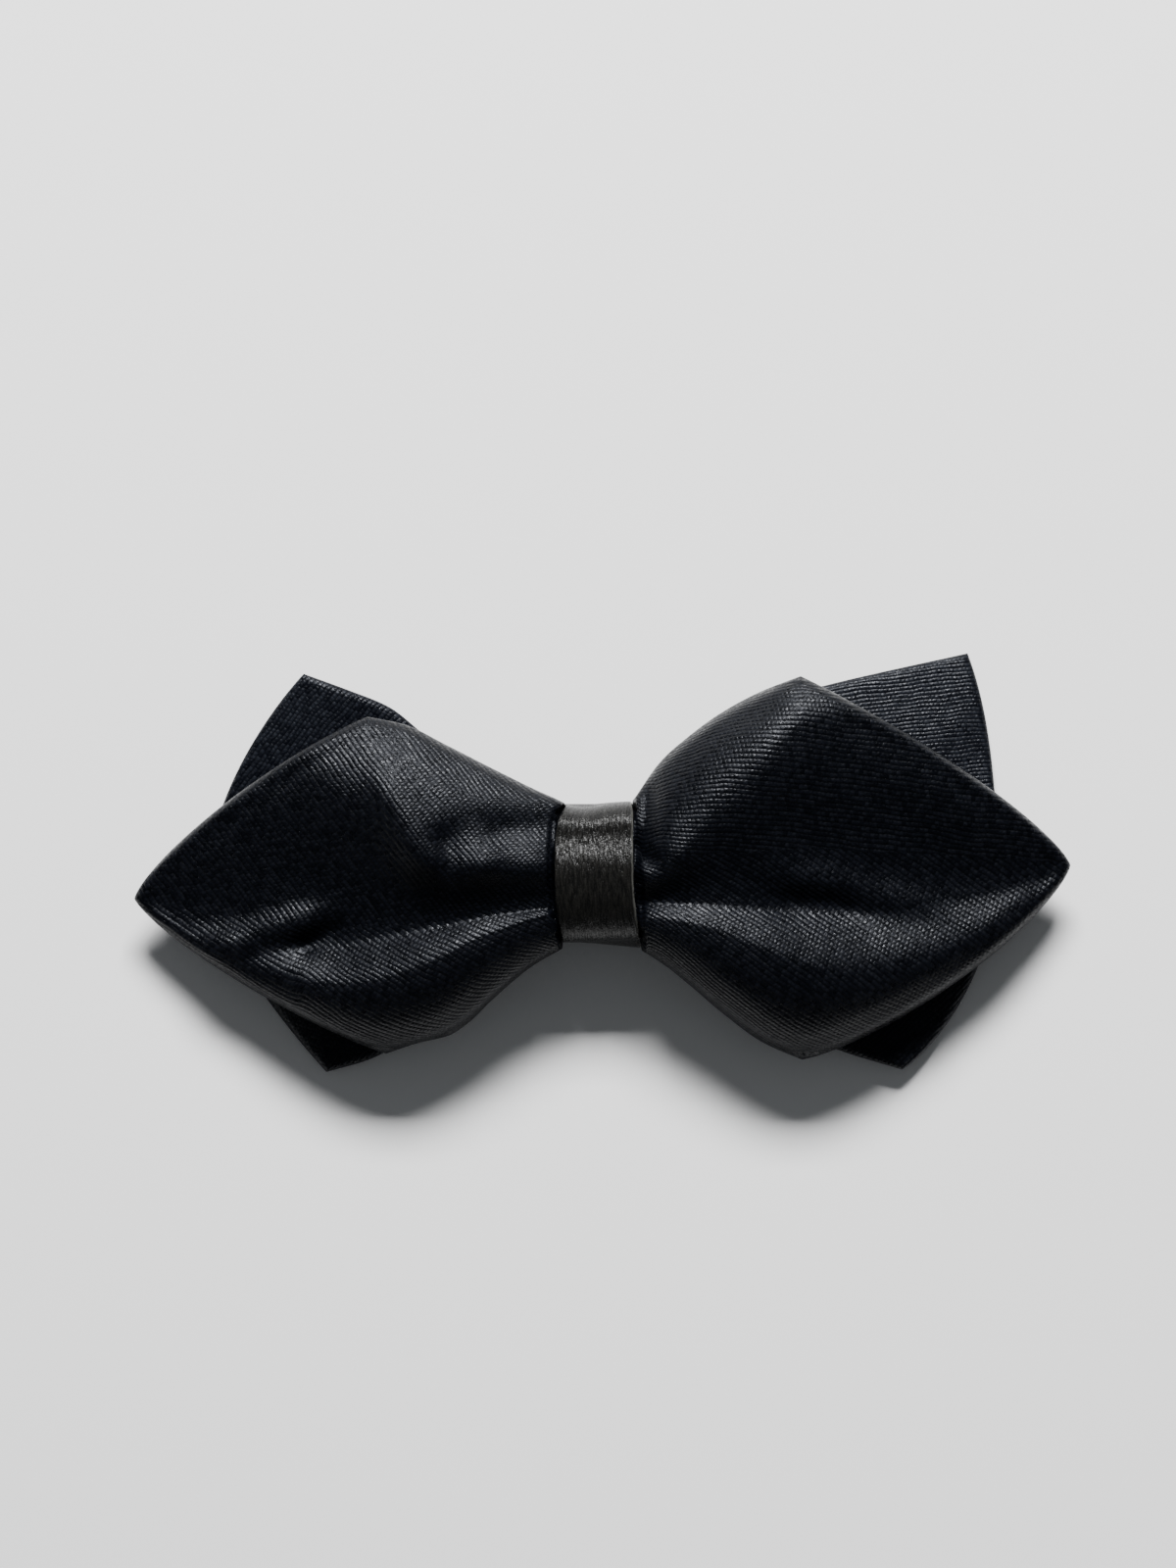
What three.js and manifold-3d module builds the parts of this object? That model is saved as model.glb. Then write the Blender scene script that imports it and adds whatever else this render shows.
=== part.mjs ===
// A pre-tied diamond point bow tie, lying on its back with its face up.
// Two pleated cloth bows lie one on the other. A leather band wraps their pinched middles, and a flat
// spring-steel clip hangs on the back of the band and slips under a shirt collar.
// Millimetres. X runs along the bow, Y towards the wearer's chin, Z out of its face.
// The origin is in the middle of the clip's flat back, which is also the surface that the bow rests on.
import * as THREE from "three";
import Module from "manifold-3d";

// Clearance between pieces that touch on the real object.
const GAP = 0.3;

// Leather band round the knot.
const BAND_WIDTH = 9.7;
const BAND_HEIGHT = 17.8;
const BAND_DEPTH = 13.6;
const BAND_WALL = 1.2;
// How far the back of the band hangs below its front, and stands to the right of it.
const BAND_SAG = 2.0;
const BAND_SIDESTEP = 0.9;

// Steel clip: a plate with a bridge that the back of the band passes through.
const CLIP_LENGTH = 40;
const CLIP_WIDTH = 7;
const CLIP_PLATE = 0.9;
const CLIP_BRIDGE = 0.7;
const CLIP_POST = 0.9;
const CLIP_CORNER = 3;

// Where the cloth comes out of the band, from its middle, and where its edges start to open.
const KNOT_EDGE = 5.4;
const OPEN_EDGE = 5.4;
const OPEN_LEFT_TOP = 5;

// Front bow: two cloth faces and their interlining, sewn into one sheet.
const FRONT_WALL = 1.6;
const FRONT_HEIGHT = 16;
const FRONT_TIP_DROP = 1.4;
const FRONT_RIGHT_REACH = 61.1;
const FRONT_RIGHT_TOP = 24.1;
const FRONT_RIGHT_TOP_AT = 27;
const FRONT_RIGHT_LOW = 25.2;
const FRONT_RIGHT_LOW_AT = 25.7;
const FRONT_LEFT_REACH = 59.5;
const FRONT_LEFT_TOP = 20.9;
const FRONT_LEFT_TOP_AT = 28.4;
const FRONT_LEFT_LOW = 22.5;
const FRONT_LEFT_LOW_AT = 27.8;

// Back bow: a flatter sheet that shows at the four corners of the front one.
const BACK_WALL = 1.5;
const BACK_TIP_DROP = 0;
const BACK_RIGHT_REACH = 52.1;
const BACK_RIGHT_TOP = 26.5;
const BACK_RIGHT_TOP_AT = 49.2;
const BACK_RIGHT_LOW = 27.1;
const BACK_RIGHT_LOW_AT = 38.7;
const BACK_LEFT_REACH = 50.3;
const BACK_LEFT_TOP = 26.8;
const BACK_LEFT_TOP_AT = 36.7;
const BACK_LEFT_LOW = 24.8;
const BACK_LEFT_LOW_AT = 35.8;

// Small folds: the height and half-width that a fold row's shares are taken of.
const FOLD_RISE = 1.2;
const FOLD_WIDTH = 2;

// How finely the sheets and the band are cut.
const FRONT_STEPS = { knot: 3, wing: 21, across: 32 };
const BACK_STEPS = { knot: 2, wing: 14, across: 16 };
const BAND_STEPS = { round: 48, across: 3 };

// Shape of the band's section: how square its front and back are (2 is an ellipse).
const BAND_FRONT_SQUARENESS = 2.6;
const BAND_BACK_SQUARENESS = 6;
// A steep sheet is measured upright through at most this many walls.
const STEEPEST_RATIO = 2;
// How far round its curl a rolled flank goes, of a quarter turn's 1.
const ROLL = 0.96;
// Distance over which the cloth opens out beside the band, and how steeply it may rise there.
const OPENING = 1;
const OPENING_SLOPE = 2.5;
// The folds follow the edges with their corners rounded off over this distance each way.
const CORNER_EASE = 6;
// How sharply the lower lobe rises out of the valley, and how much the valley itself is softened.
const CREASE_POWER = 1.5;
const CREASE_SOFTNESS = 0.2;
// The grids' stations are closer together near the knot.
const CROWDING = 1.3;

// The front edges of the band, from its foot (-1) to its head (1), as shares of half its width.
const BAND_EDGES = [
  { at: -1, left: 0.94, right: 1.1 },
  { at: -0.8, left: 1, right: 1.03 },
  { at: -0.5, left: 1.04, right: 1 },
  { at: 0, left: 1.06, right: 0.98 },
  { at: 0.5, left: 1.03, right: 1 },
  { at: 0.75, left: 0.96, right: 1.02 },
  { at: 1, left: 0.74, right: 1.02 },
];

// Inner edges of the wings, from the band (along 0) to the corner (along 1). "across" is the share of
// the way from the band's half height to the corner.
const FRONT_RIGHT_TOP_EDGE = [
  { along: 0, across: 0 },
  { along: 0.18, across: 0.33 },
  { along: 0.3, across: 0.48 },
  { along: 0.54, across: 0.72 },
  { along: 0.78, across: 0.89 },
  { along: 1, across: 1 },
];
const FRONT_RIGHT_LOW_EDGE = [
  { along: 0, across: 0.08 },
  { along: 0.17, across: 0.21 },
  { along: 0.3, across: 0.35 },
  { along: 0.53, across: 0.62 },
  { along: 0.76, across: 0.85 },
  { along: 1, across: 1 },
];
const FRONT_LEFT_TOP_EDGE = [
  { along: 0, across: 0.02 },
  { along: 0.16, across: 0.21 },
  { along: 0.37, across: 0.44 },
  { along: 0.58, across: 0.67 },
  { along: 0.8, across: 0.9 },
  { along: 1, across: 1 },
];
const FRONT_LEFT_LOW_EDGE = [
  { along: 0, across: 0.05 },
  { along: 0.17, across: 0.22 },
  { along: 0.4, across: 0.53 },
  { along: 0.53, across: 0.73 },
  { along: 0.65, across: 0.85 },
  { along: 0.82, across: 0.91 },
  { along: 1, across: 1 },
];
const BACK_RIGHT_TOP_EDGE = [
  { along: 0, across: 0 },
  { along: 0.15, across: 0.24 },
  { along: 0.34, across: 0.6 },
  { along: 0.5, across: 0.75 },
  { along: 0.6, across: 0.81 },
  { along: 1, across: 1 },
];
const BACK_RIGHT_LOW_EDGE = [
  { along: 0, across: 0 },
  { along: 0.2, across: 0.22 },
  { along: 0.45, across: 0.57 },
  { along: 0.64, across: 0.75 },
  { along: 0.81, across: 0.88 },
  { along: 1, across: 1 },
];
const BACK_LEFT_TOP_EDGE = [
  { along: 0, across: 0 },
  { along: 0.25, across: 0.19 },
  { along: 0.5, across: 0.5 },
  { along: 0.66, across: 0.74 },
  { along: 0.82, across: 0.87 },
  { along: 1, across: 1 },
];
const BACK_LEFT_LOW_EDGE = [
  { along: 0, across: 0 },
  { along: 0.22, across: 0.24 },
  { along: 0.42, across: 0.56 },
  { along: 0.62, across: 0.72 },
  { along: 0.82, across: 0.91 },
  { along: 1, across: 1 },
];

// Sections of the front bow, "at" a share of the wing's reach. PLACES are shares of the way from the
// middle line to the edge, and "round" is 1 where the cloth rolls over to its edge and 0 where it only
// slopes down to it. HEIGHTS are shares of FRONT_HEIGHT, and in the knot of the room in the band.
const KNOT_PLACES = { lowCrest: 0.8, valley: 0.52, topCrest: 0.5, round: 0.6 };
const KNOT_HEIGHTS = { lowEdge: 0.45, lowCrest: 0.9, valley: 0.72, topCrest: 0.98, topEdge: 0.5 };
const FRONT_RIGHT_PLACES = [
  { at: 0.1, lowCrest: 0.55, valley: 0.37, topCrest: 0.3, round: 0.8 },
  { at: 0.16, lowCrest: 0.48, valley: 0.305, topCrest: 0.24, round: 1 },
  { at: 0.24, lowCrest: 0.44, valley: 0.245, topCrest: 0.4, round: 1 },
  { at: 0.33, lowCrest: 0.46, valley: 0.22, topCrest: 0.54, round: 0.8 },
  { at: 0.444, lowCrest: 0.53, valley: 0.23, topCrest: 0.78, round: 0.3 },
  { at: 0.58, lowCrest: 0.62, valley: 0.26, topCrest: 0.92, round: 0 },
  { at: 0.78, lowCrest: 0.68, valley: 0.27, topCrest: 0.93, round: 0 },
  { at: 1, lowCrest: 0.6, valley: 0.25, topCrest: 0.9, round: 0 },
];
const FRONT_RIGHT_HEIGHTS = [
  { at: 0.1, lowEdge: 0.5, lowCrest: 0.82, valley: 0.76, topCrest: 0.87, topEdge: 0.58 },
  { at: 0.16, lowEdge: 0.45, lowCrest: 0.88, valley: 0.81, topCrest: 0.94, topEdge: 0.58 },
  { at: 0.24, lowEdge: 0.4, lowCrest: 0.91, valley: 0.81, topCrest: 0.99, topEdge: 0.57 },
  { at: 0.33, lowEdge: 0.35, lowCrest: 0.92, valley: 0.77, topCrest: 1, topEdge: 0.58 },
  { at: 0.444, lowEdge: 0.3, lowCrest: 0.86, valley: 0.69, topCrest: 0.93, topEdge: 0.74 },
  { at: 0.58, lowEdge: 0.31, lowCrest: 0.73, valley: 0.6, topCrest: 0.82, topEdge: 0.79 },
  { at: 0.78, lowEdge: 0.33, lowCrest: 0.54, valley: 0.5, topCrest: 0.63, topEdge: 0.6 },
  { at: 1, lowEdge: 0.34, lowCrest: 0.35, valley: 0.36, topCrest: 0.37, topEdge: 0.36 },
];
const FRONT_LEFT_PLACES = [
  { at: 0.1, lowCrest: 0.54, valley: 0.41, topCrest: 0.21, round: 0.8 },
  { at: 0.17, lowCrest: 0.5, valley: 0.35, topCrest: 0.17, round: 1 },
  { at: 0.26, lowCrest: 0.44, valley: 0.295, topCrest: 0.15, round: 1 },
  { at: 0.35, lowCrest: 0.475, valley: 0.29, topCrest: 0.2, round: 0.8 },
  { at: 0.47, lowCrest: 0.54, valley: 0.31, topCrest: 0.44, round: 0.3 },
  { at: 0.6, lowCrest: 0.68, valley: 0.4, topCrest: 0.72, round: 0 },
  { at: 0.78, lowCrest: 0.73, valley: 0.4, topCrest: 0.92, round: 0 },
  { at: 1, lowCrest: 0.65, valley: 0.3, topCrest: 0.9, round: 0 },
];
const FRONT_LEFT_HEIGHTS = [
  { at: 0.1, lowEdge: 0.5, lowCrest: 0.8, valley: 0.76, topCrest: 0.87, topEdge: 0.6 },
  { at: 0.17, lowEdge: 0.45, lowCrest: 0.84, valley: 0.785, topCrest: 0.92, topEdge: 0.6 },
  { at: 0.26, lowEdge: 0.4, lowCrest: 0.86, valley: 0.78, topCrest: 0.96, topEdge: 0.6 },
  { at: 0.35, lowEdge: 0.36, lowCrest: 0.86, valley: 0.75, topCrest: 0.97, topEdge: 0.62 },
  { at: 0.47, lowEdge: 0.33, lowCrest: 0.79, valley: 0.66, topCrest: 0.9, topEdge: 0.68 },
  { at: 0.6, lowEdge: 0.33, lowCrest: 0.67, valley: 0.56, topCrest: 0.79, topEdge: 0.74 },
  { at: 0.78, lowEdge: 0.31, lowCrest: 0.52, valley: 0.48, topCrest: 0.61, topEdge: 0.58 },
  { at: 1, lowEdge: 0.33, lowCrest: 0.34, valley: 0.35, topCrest: 0.36, topEdge: 0.35 },
];

// Sections of the back bow: heights at the middle and at both edges, as shares of its height at the knot.
const BACK_RIGHT_SECTIONS = [
  { at: 0, middle: 1, top: 0.97, low: 0.97 },
  { at: 0.25, middle: 1.08, top: 0.8, low: 0.8 },
  { at: 0.55, middle: 0.98, top: 0.62, low: 0.62 },
  { at: 0.8, middle: 0.76, top: 0.42, low: 0.4 },
  { at: 1, middle: 0.5, top: 0.19, low: 0.2 },
];
const BACK_LEFT_SECTIONS = [
  { at: 0, middle: 1, top: 0.97, low: 0.97 },
  { at: 0.25, middle: 1.08, top: 1, low: 0.8 },
  { at: 0.55, middle: 0.98, top: 1.25, low: 0.52 },
  { at: 0.8, middle: 0.9, top: 1.3, low: 0.3 },
  { at: 1, middle: 0.85, top: 1.2, low: 0.18 },
];

// Small folds of the front bow. Places are shares of the wing's reach and of its top or low half
// height, and rise and width are shares of FOLD_RISE and FOLD_WIDTH. A rise below 0 is a tuck.
const FRONT_RIGHT_FOLDS = [
  { fromAlong: 0.118, fromAcross: 0.36, toAlong: 0.092, toAcross: 0.08, rise: -1.4, width: 0.75 },
  { fromAlong: 0.07, fromAcross: 0.14, toAlong: 0.135, toAcross: -0.04, rise: 1.2, width: 0.5 },
  { fromAlong: 0.38, fromAcross: -0.02, toAlong: 0.72, toAcross: -0.26, rise: 0.4, width: 1 },
  { fromAlong: 0.36, fromAcross: -0.17, toAlong: 0.56, toAcross: -0.22, rise: -0.6, width: 1 },
];
const FRONT_LEFT_FOLDS = [
  { fromAlong: 0.46, fromAcross: 0.65, toAlong: 0.355, toAcross: 0.08, rise: 0.7, width: 1.1 },
  { fromAlong: 0.33, fromAcross: 0.29, toAlong: 0.3, toAcross: 0.04, rise: -0.55, width: 0.8 },
  { fromAlong: 0.255, fromAcross: 0.32, toAlong: 0.22, toAcross: 0.03, rise: 0.4, width: 0.9 },
  { fromAlong: 0.1, fromAcross: 0.29, toAlong: 0.34, toAcross: 0.3, rise: -0.7, width: 0.7 },
  { fromAlong: 0.03, fromAcross: 0.42, toAlong: 0.16, toAcross: 0.34, rise: -0.4, width: 1.2 },
  { fromAlong: 0.05, fromAcross: 0.11, toAlong: 0.3, toAcross: 0.1, rise: 0.4, width: 0.5 },
  { fromAlong: 0.84, fromAcross: -0.34, toAlong: 0.59, toAcross: -0.14, rise: 0.5, width: 1.1 },
  { fromAlong: 0.56, fromAcross: -0.24, toAlong: 0.65, toAcross: -0.4, rise: -0.7, width: 0.9 },
];

// Heights of the pieces that are stacked in the knot, from the resting surface up.
const bandBack = CLIP_PLATE + GAP;
const bridgeFloor = bandBack + BAND_WALL + 1.5 * GAP;
const bridgeTop = bridgeFloor + CLIP_BRIDGE;
const backSeat = bridgeTop + 1.5 * GAP + BACK_WALL / 2;
const bandMiddle = bandBack + BAND_DEPTH / 2;
const bandEdge = BAND_WIDTH / 2;
const innerHalfHeight = BAND_HEIGHT / 2 - BAND_WALL;
const innerHalfDepth = BAND_DEPTH / 2 - BAND_WALL;
// Half heights and middles of the two bows inside the band, whose back leans down.
const frontKnot = { half: innerHalfHeight - 3 * GAP, middle: 0 };
const backKnot = { half: innerHalfHeight - 6 * GAP, middle: -0.6 * BAND_SAG };
const frontFloor = backSeat + BACK_WALL / 2 + GAP + FRONT_WALL / 2;
const frontCeiling =
  bandMiddle + innerHeightShare(0.55) * innerHalfDepth - GAP - FRONT_WALL / 2;

function clamp(value, low, high) {
  return Math.min(high, Math.max(low, value));
}

function mix(a, b, share) {
  return a + (b - a) * share;
}

function smooth(share) {
  const s = clamp(share, 0, 1);
  return s * s * (3 - 2 * s);
}

// How high the inside of the band's front is at a share of its half height, as a share of half its depth.
function innerHeightShare(across) {
  const n = BAND_FRONT_SQUARENESS;
  return (1 - Math.abs(clamp(across, -0.99, 0.99)) ** n) ** (1 / n);
}

// A smooth curve through the points (xs, ys) that never overshoots them.
function curve(xs, ys, x) {
  const last = xs.length - 1;
  if (x <= xs[0]) return ys[0];
  if (x >= xs[last]) return ys[last];
  const k = xs.findIndex((_, i) => x < xs[i + 1]);
  const rise = (i) => (ys[i + 1] - ys[i]) / (xs[i + 1] - xs[i]);
  const slope = (i) => {
    if (i === 0) return rise(0);
    if (i === last) return rise(last - 1);
    const [before, after] = [rise(i - 1), rise(i)];
    return before * after <= 0 ? 0 : (2 * before * after) / (before + after);
  };
  const step = xs[k + 1] - xs[k];
  const t = (x - xs[k]) / step;
  const [t2, t3] = [t * t, t * t * t];
  return (
    (2 * t3 - 3 * t2 + 1) * ys[k] +
    (t3 - 2 * t2 + t) * step * slope(k) +
    (3 * t2 - 2 * t3) * ys[k + 1] +
    (t3 - t2) * step * slope(k + 1)
  );
}

// One column of a table, read between its rows.
function column(rows, place, name, x) {
  return curve(rows.map((r) => r[place]), rows.map((r) => r[name]), x);
}

// A wing's outline. x is the distance from the knot's middle, whichever side the wing is on. An arc's
// two numbers say how much the edge from the tip to the corner curves at the tip and at the corner.
class Outline {
  constructor(wing) {
    Object.assign(this, wing);
  }

  // The middle line runs from the knot's middle to the tip.
  middle(x) {
    return mix(this.knot.middle, -this.tipDrop, smooth((x - KNOT_EDGE) / this.reach));
  }

  // The cloth's top (sign 1) or low (sign -1) edge at x, as if no band pinched it.
  freeEdge(x, sign) {
    const corner = sign > 0 ? this.top : this.low;
    const at = sign > 0 ? this.topAt : this.lowAt;
    if (x >= at) {
      const [point, shoulder] = sign > 0 ? this.topArc : this.lowArc;
      const share = clamp((this.reach - x) / (this.reach - at), 0, 1) ** (1 / point);
      return mix(-this.tipDrop, sign * corner, 1 - (1 - share) ** shoulder);
    }
    const rows = sign > 0 ? this.topEdge : this.lowEdge;
    const share = column(rows, "along", "across", (x - bandEdge) / (at - bandEdge));
    return sign * mix(BAND_HEIGHT / 2, corner, share);
  }

  // The cloth's edge at x, pinched inside the band.
  edge(x, sign) {
    const knot = sign * this.knot.half + this.knot.middle;
    const open = sign > 0 ? this.topOpens : this.lowOpens;
    return mix(knot, this.freeEdge(x, sign), smooth((x - open) / OPENING));
  }

  // The edge that the folds follow: a weighted mean of the edge on both sides of x.
  easedEdge(x, sign) {
    let [total, weights] = [0, 0];
    for (const share of [-1, -0.75, -0.5, -0.25, 0, 0.25, 0.5, 0.75, 1]) {
      const weight = 1.2 - Math.abs(share);
      total += weight * this.freeEdge(x + share * CORNER_EASE, sign);
      weights += weight;
    }
    return total / weights;
  }

  // The place of the sheet at u along the wing (0 at the knot's middle, 1 at the outer edge) and v
  // across it (-1 at the low edge, 1 at the top one).
  place(u, v, knotShare) {
    const sign = v < 0 ? -1 : 1;
    if (u <= knotShare) {
      const x = (KNOT_EDGE * u) / knotShare;
      return [x, mix(this.middle(x), this.edge(x, sign), Math.abs(v))];
    }
    const along = ((u - knotShare) / (1 - knotShare)) ** CROWDING;
    const at = sign > 0 ? this.topAt : this.lowAt;
    const [point, shoulder] = sign > 0 ? this.topArc : this.lowArc;
    const spread = (25 + 40 * 4 * along * (1 - along)) * (Math.PI / 180);
    const share = Math.sin(spread * Math.abs(v)) / Math.sin(spread);
    const xMiddle = mix(KNOT_EDGE, this.reach, along);
    const xEdge = mix(KNOT_EDGE, at, along);
    const x = mix(xMiddle, xEdge, share ** mix(2, point, along));
    const yShare = 1 - (1 - share) ** mix(1, shoulder, along);
    return [x, mix(this.middle(xMiddle), this.edge(xEdge, sign), yShare)];
  }
}

const frontRight = new Outline({
  knot: frontKnot,
  topOpens: OPEN_EDGE,
  lowOpens: OPEN_EDGE,
  reach: FRONT_RIGHT_REACH,
  tipDrop: FRONT_TIP_DROP,
  top: FRONT_RIGHT_TOP,
  topAt: FRONT_RIGHT_TOP_AT,
  low: FRONT_RIGHT_LOW,
  lowAt: FRONT_RIGHT_LOW_AT,
  topArc: [1.3, 1.02],
  lowArc: [1.3, 1.28],
  topEdge: FRONT_RIGHT_TOP_EDGE,
  lowEdge: FRONT_RIGHT_LOW_EDGE,
  places: FRONT_RIGHT_PLACES,
  heights: FRONT_RIGHT_HEIGHTS,
  folds: FRONT_RIGHT_FOLDS,
});
const frontLeft = new Outline({
  knot: frontKnot,
  topOpens: OPEN_LEFT_TOP,
  lowOpens: OPEN_EDGE,
  reach: FRONT_LEFT_REACH,
  tipDrop: FRONT_TIP_DROP,
  top: FRONT_LEFT_TOP,
  topAt: FRONT_LEFT_TOP_AT,
  low: FRONT_LEFT_LOW,
  lowAt: FRONT_LEFT_LOW_AT,
  topArc: [1.3, 1.12],
  lowArc: [1.25, 1.12],
  topEdge: FRONT_LEFT_TOP_EDGE,
  lowEdge: FRONT_LEFT_LOW_EDGE,
  places: FRONT_LEFT_PLACES,
  heights: FRONT_LEFT_HEIGHTS,
  folds: FRONT_LEFT_FOLDS,
});
const backRight = new Outline({
  knot: backKnot,
  topOpens: OPEN_EDGE,
  lowOpens: OPEN_EDGE,
  reach: BACK_RIGHT_REACH,
  tipDrop: BACK_TIP_DROP,
  top: BACK_RIGHT_TOP,
  topAt: BACK_RIGHT_TOP_AT,
  low: BACK_RIGHT_LOW,
  lowAt: BACK_RIGHT_LOW_AT,
  topArc: [2.9, 1.02],
  lowArc: [1.9, 1.2],
  topEdge: BACK_RIGHT_TOP_EDGE,
  lowEdge: BACK_RIGHT_LOW_EDGE,
  sections: BACK_RIGHT_SECTIONS,
});
const backLeft = new Outline({
  knot: backKnot,
  topOpens: OPEN_EDGE,
  lowOpens: OPEN_EDGE,
  reach: BACK_LEFT_REACH,
  tipDrop: BACK_TIP_DROP,
  top: BACK_LEFT_TOP,
  topAt: BACK_LEFT_TOP_AT,
  low: BACK_LEFT_LOW,
  lowAt: BACK_LEFT_LOW_AT,
  topArc: [1.7, 1.05],
  lowArc: [1.4, 1.02],
  topEdge: BACK_LEFT_TOP_EDGE,
  lowEdge: BACK_LEFT_LOW_EDGE,
  sections: BACK_LEFT_SECTIONS,
});

// Height of the middle of the back bow's sheet.
function backHeight(wing, x, y) {
  const at = x / wing.reach;
  const sign = y < wing.middle(x) ? -1 : 1;
  const half = Math.abs(wing.edge(Math.min(x, wing.reach * 0.9), sign));
  const middle = column(wing.sections, "at", "middle", at);
  const edge = column(wing.sections, "at", sign > 0 ? "top" : "low", at);
  return backSeat * mix(middle, edge, Math.min(1.2, Math.abs(y) / half) ** 2);
}

// A front wing's sections, the knot's own first, with their heights in millimetres.
function withKnot(wing) {
  const scaled = (row, low, high) =>
    Object.fromEntries(Object.entries(row).map(([name, share]) => [name, mix(low, high, share)]));
  const knot = scaled(KNOT_HEIGHTS, frontFloor, frontCeiling);
  const free = wing.heights.map((row) => ({ ...scaled(row, 0, FRONT_HEIGHT), at: row.at }));
  const edge = KNOT_EDGE / wing.reach;
  return {
    places: [{ ...KNOT_PLACES, at: 0 }, { ...KNOT_PLACES, at: edge }, ...wing.places],
    heights: [{ ...knot, at: 0 }, { ...knot, at: edge }, ...free],
  };
}
for (const wing of [frontRight, frontLeft]) Object.assign(wing, withKnot(wing));

// What one small fold adds at (x, y).
function foldRise(wing, fold, x, y) {
  const half = (across) => across * (across < 0 ? wing.low : wing.top);
  const from = [fold.fromAlong * wing.reach, half(fold.fromAcross)];
  const to = [fold.toAlong * wing.reach, half(fold.toAcross)];
  const [dx, dy] = [to[0] - from[0], to[1] - from[1]];
  const length = Math.hypot(dx, dy);
  const along = ((x - from[0]) * dx + (y - from[1]) * dy) / length ** 2;
  const off = ((x - from[0]) * dy - (y - from[1]) * dx) / length;
  const width = fold.width * FOLD_WIDTH;
  const past = Math.max(0, along - 0.75, 0.25 - along) * length;
  return fold.rise * FOLD_RISE * Math.exp(-((off / width) ** 2)) * Math.exp(-((past / (0.3 * length)) ** 2));
}

// Height of the middle of the front bow's sheet, before it is kept off the back bow.
function frontHeight(wing, x, y) {
  const at = x / wing.reach;
  const place = (name) => column(wing.places, "at", name, at);
  const height = (name) => column(wing.heights, "at", name, at);
  const middle = wing.middle(x);
  const [top, low] = [wing.easedEdge(x, 1), wing.easedEdge(x, -1)];
  const topCrest = mix(middle, top, place("topCrest"));
  const valley = mix(middle, low, place("valley"));
  const lowCrest = mix(middle, low, place("lowCrest"));
  const flank = (crest, edge, from, to) => {
    const t = clamp((y - crest) / (edge - crest || 1), 0, 1.2);
    const rolled = (1 - Math.sqrt(1 - (ROLL * Math.min(t, 1)) ** 2)) / (1 - Math.sqrt(1 - ROLL ** 2));
    return mix(from, to, mix(t * t, rolled, place("round")));
  };
  let z;
  if (y >= topCrest) z = flank(topCrest, top, height("topCrest"), height("topEdge"));
  else if (y <= lowCrest) z = flank(lowCrest, low, height("lowCrest"), height("lowEdge"));
  else if (y > valley) {
    z = mix(height("valley"), height("topCrest"), smooth((y - valley) / (topCrest - valley)));
  } else {
    const share = clamp((y - valley) / (lowCrest - valley), 0, 1);
    const eased = (share ** 2 * (1 + CREASE_SOFTNESS)) / (share + CREASE_SOFTNESS);
    const creased = 1 - 0.7 * smooth((at - 0.35) / 0.3);
    const risen = mix(smooth(share), 1 - (1 - eased) ** CREASE_POWER, creased);
    z = mix(height("valley"), height("lowCrest"), risen);
  }
  const clearOfBand = smooth((x - KNOT_EDGE) / OPENING);
  for (const fold of wing.folds) z += clearOfBand * foldRise(wing, fold, x, y);
  return z;
}

// The front bow's upright thickness, more where it is steep. It is read a little inside the outline.
function uprightWall(wing, x, y) {
  const [px, py] = [mix(x, wing.reach / 2, 0.02), mix(y, 0, 0.02)];
  const step = FRONT_WALL / 16;
  const slopeX = (frontHeight(wing, px + step, py) - frontHeight(wing, px - step, py)) / (2 * step);
  const slopeY = (frontHeight(wing, px, py + step) - frontHeight(wing, px, py - step)) / (2 * step);
  return FRONT_WALL * Math.min(STEEPEST_RATIO, Math.hypot(1, slopeX, slopeY));
}

// Lowest and highest points of the back bow's sheet at (x, y).
function backFaces(wing, x, y) {
  const z = backHeight(wing, x, y);
  return [z - BACK_WALL / 2, z + BACK_WALL / 2];
}

// Lowest and highest points of the front bow's sheet at (x, y). It lies on the back bow and under the band.
function frontFaces(wing, backWing, x, y) {
  const wall = uprightWall(wing, x, y);
  const seat = backFaces(backWing, x, y)[1] + GAP + wall / 2;
  const z = Math.max(frontHeight(wing, x, y), seat);
  const inside = bandMiddle + innerHeightShare(y / innerHalfHeight) * innerHalfDepth - GAP;
  const roof = inside + OPENING_SLOPE * Math.max(0, x - KNOT_EDGE);
  const top = Math.min(z + wall / 2, roof);
  return [Math.min(z - wall / 2, top - FRONT_WALL), top];
}

function geometry(points, faces) {
  const made = new THREE.BufferGeometry();
  made.setAttribute("position", new THREE.Float32BufferAttribute(points.flat(), 3));
  made.setIndex(faces.flat());
  made.computeVertexNormals();
  return made;
}

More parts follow.
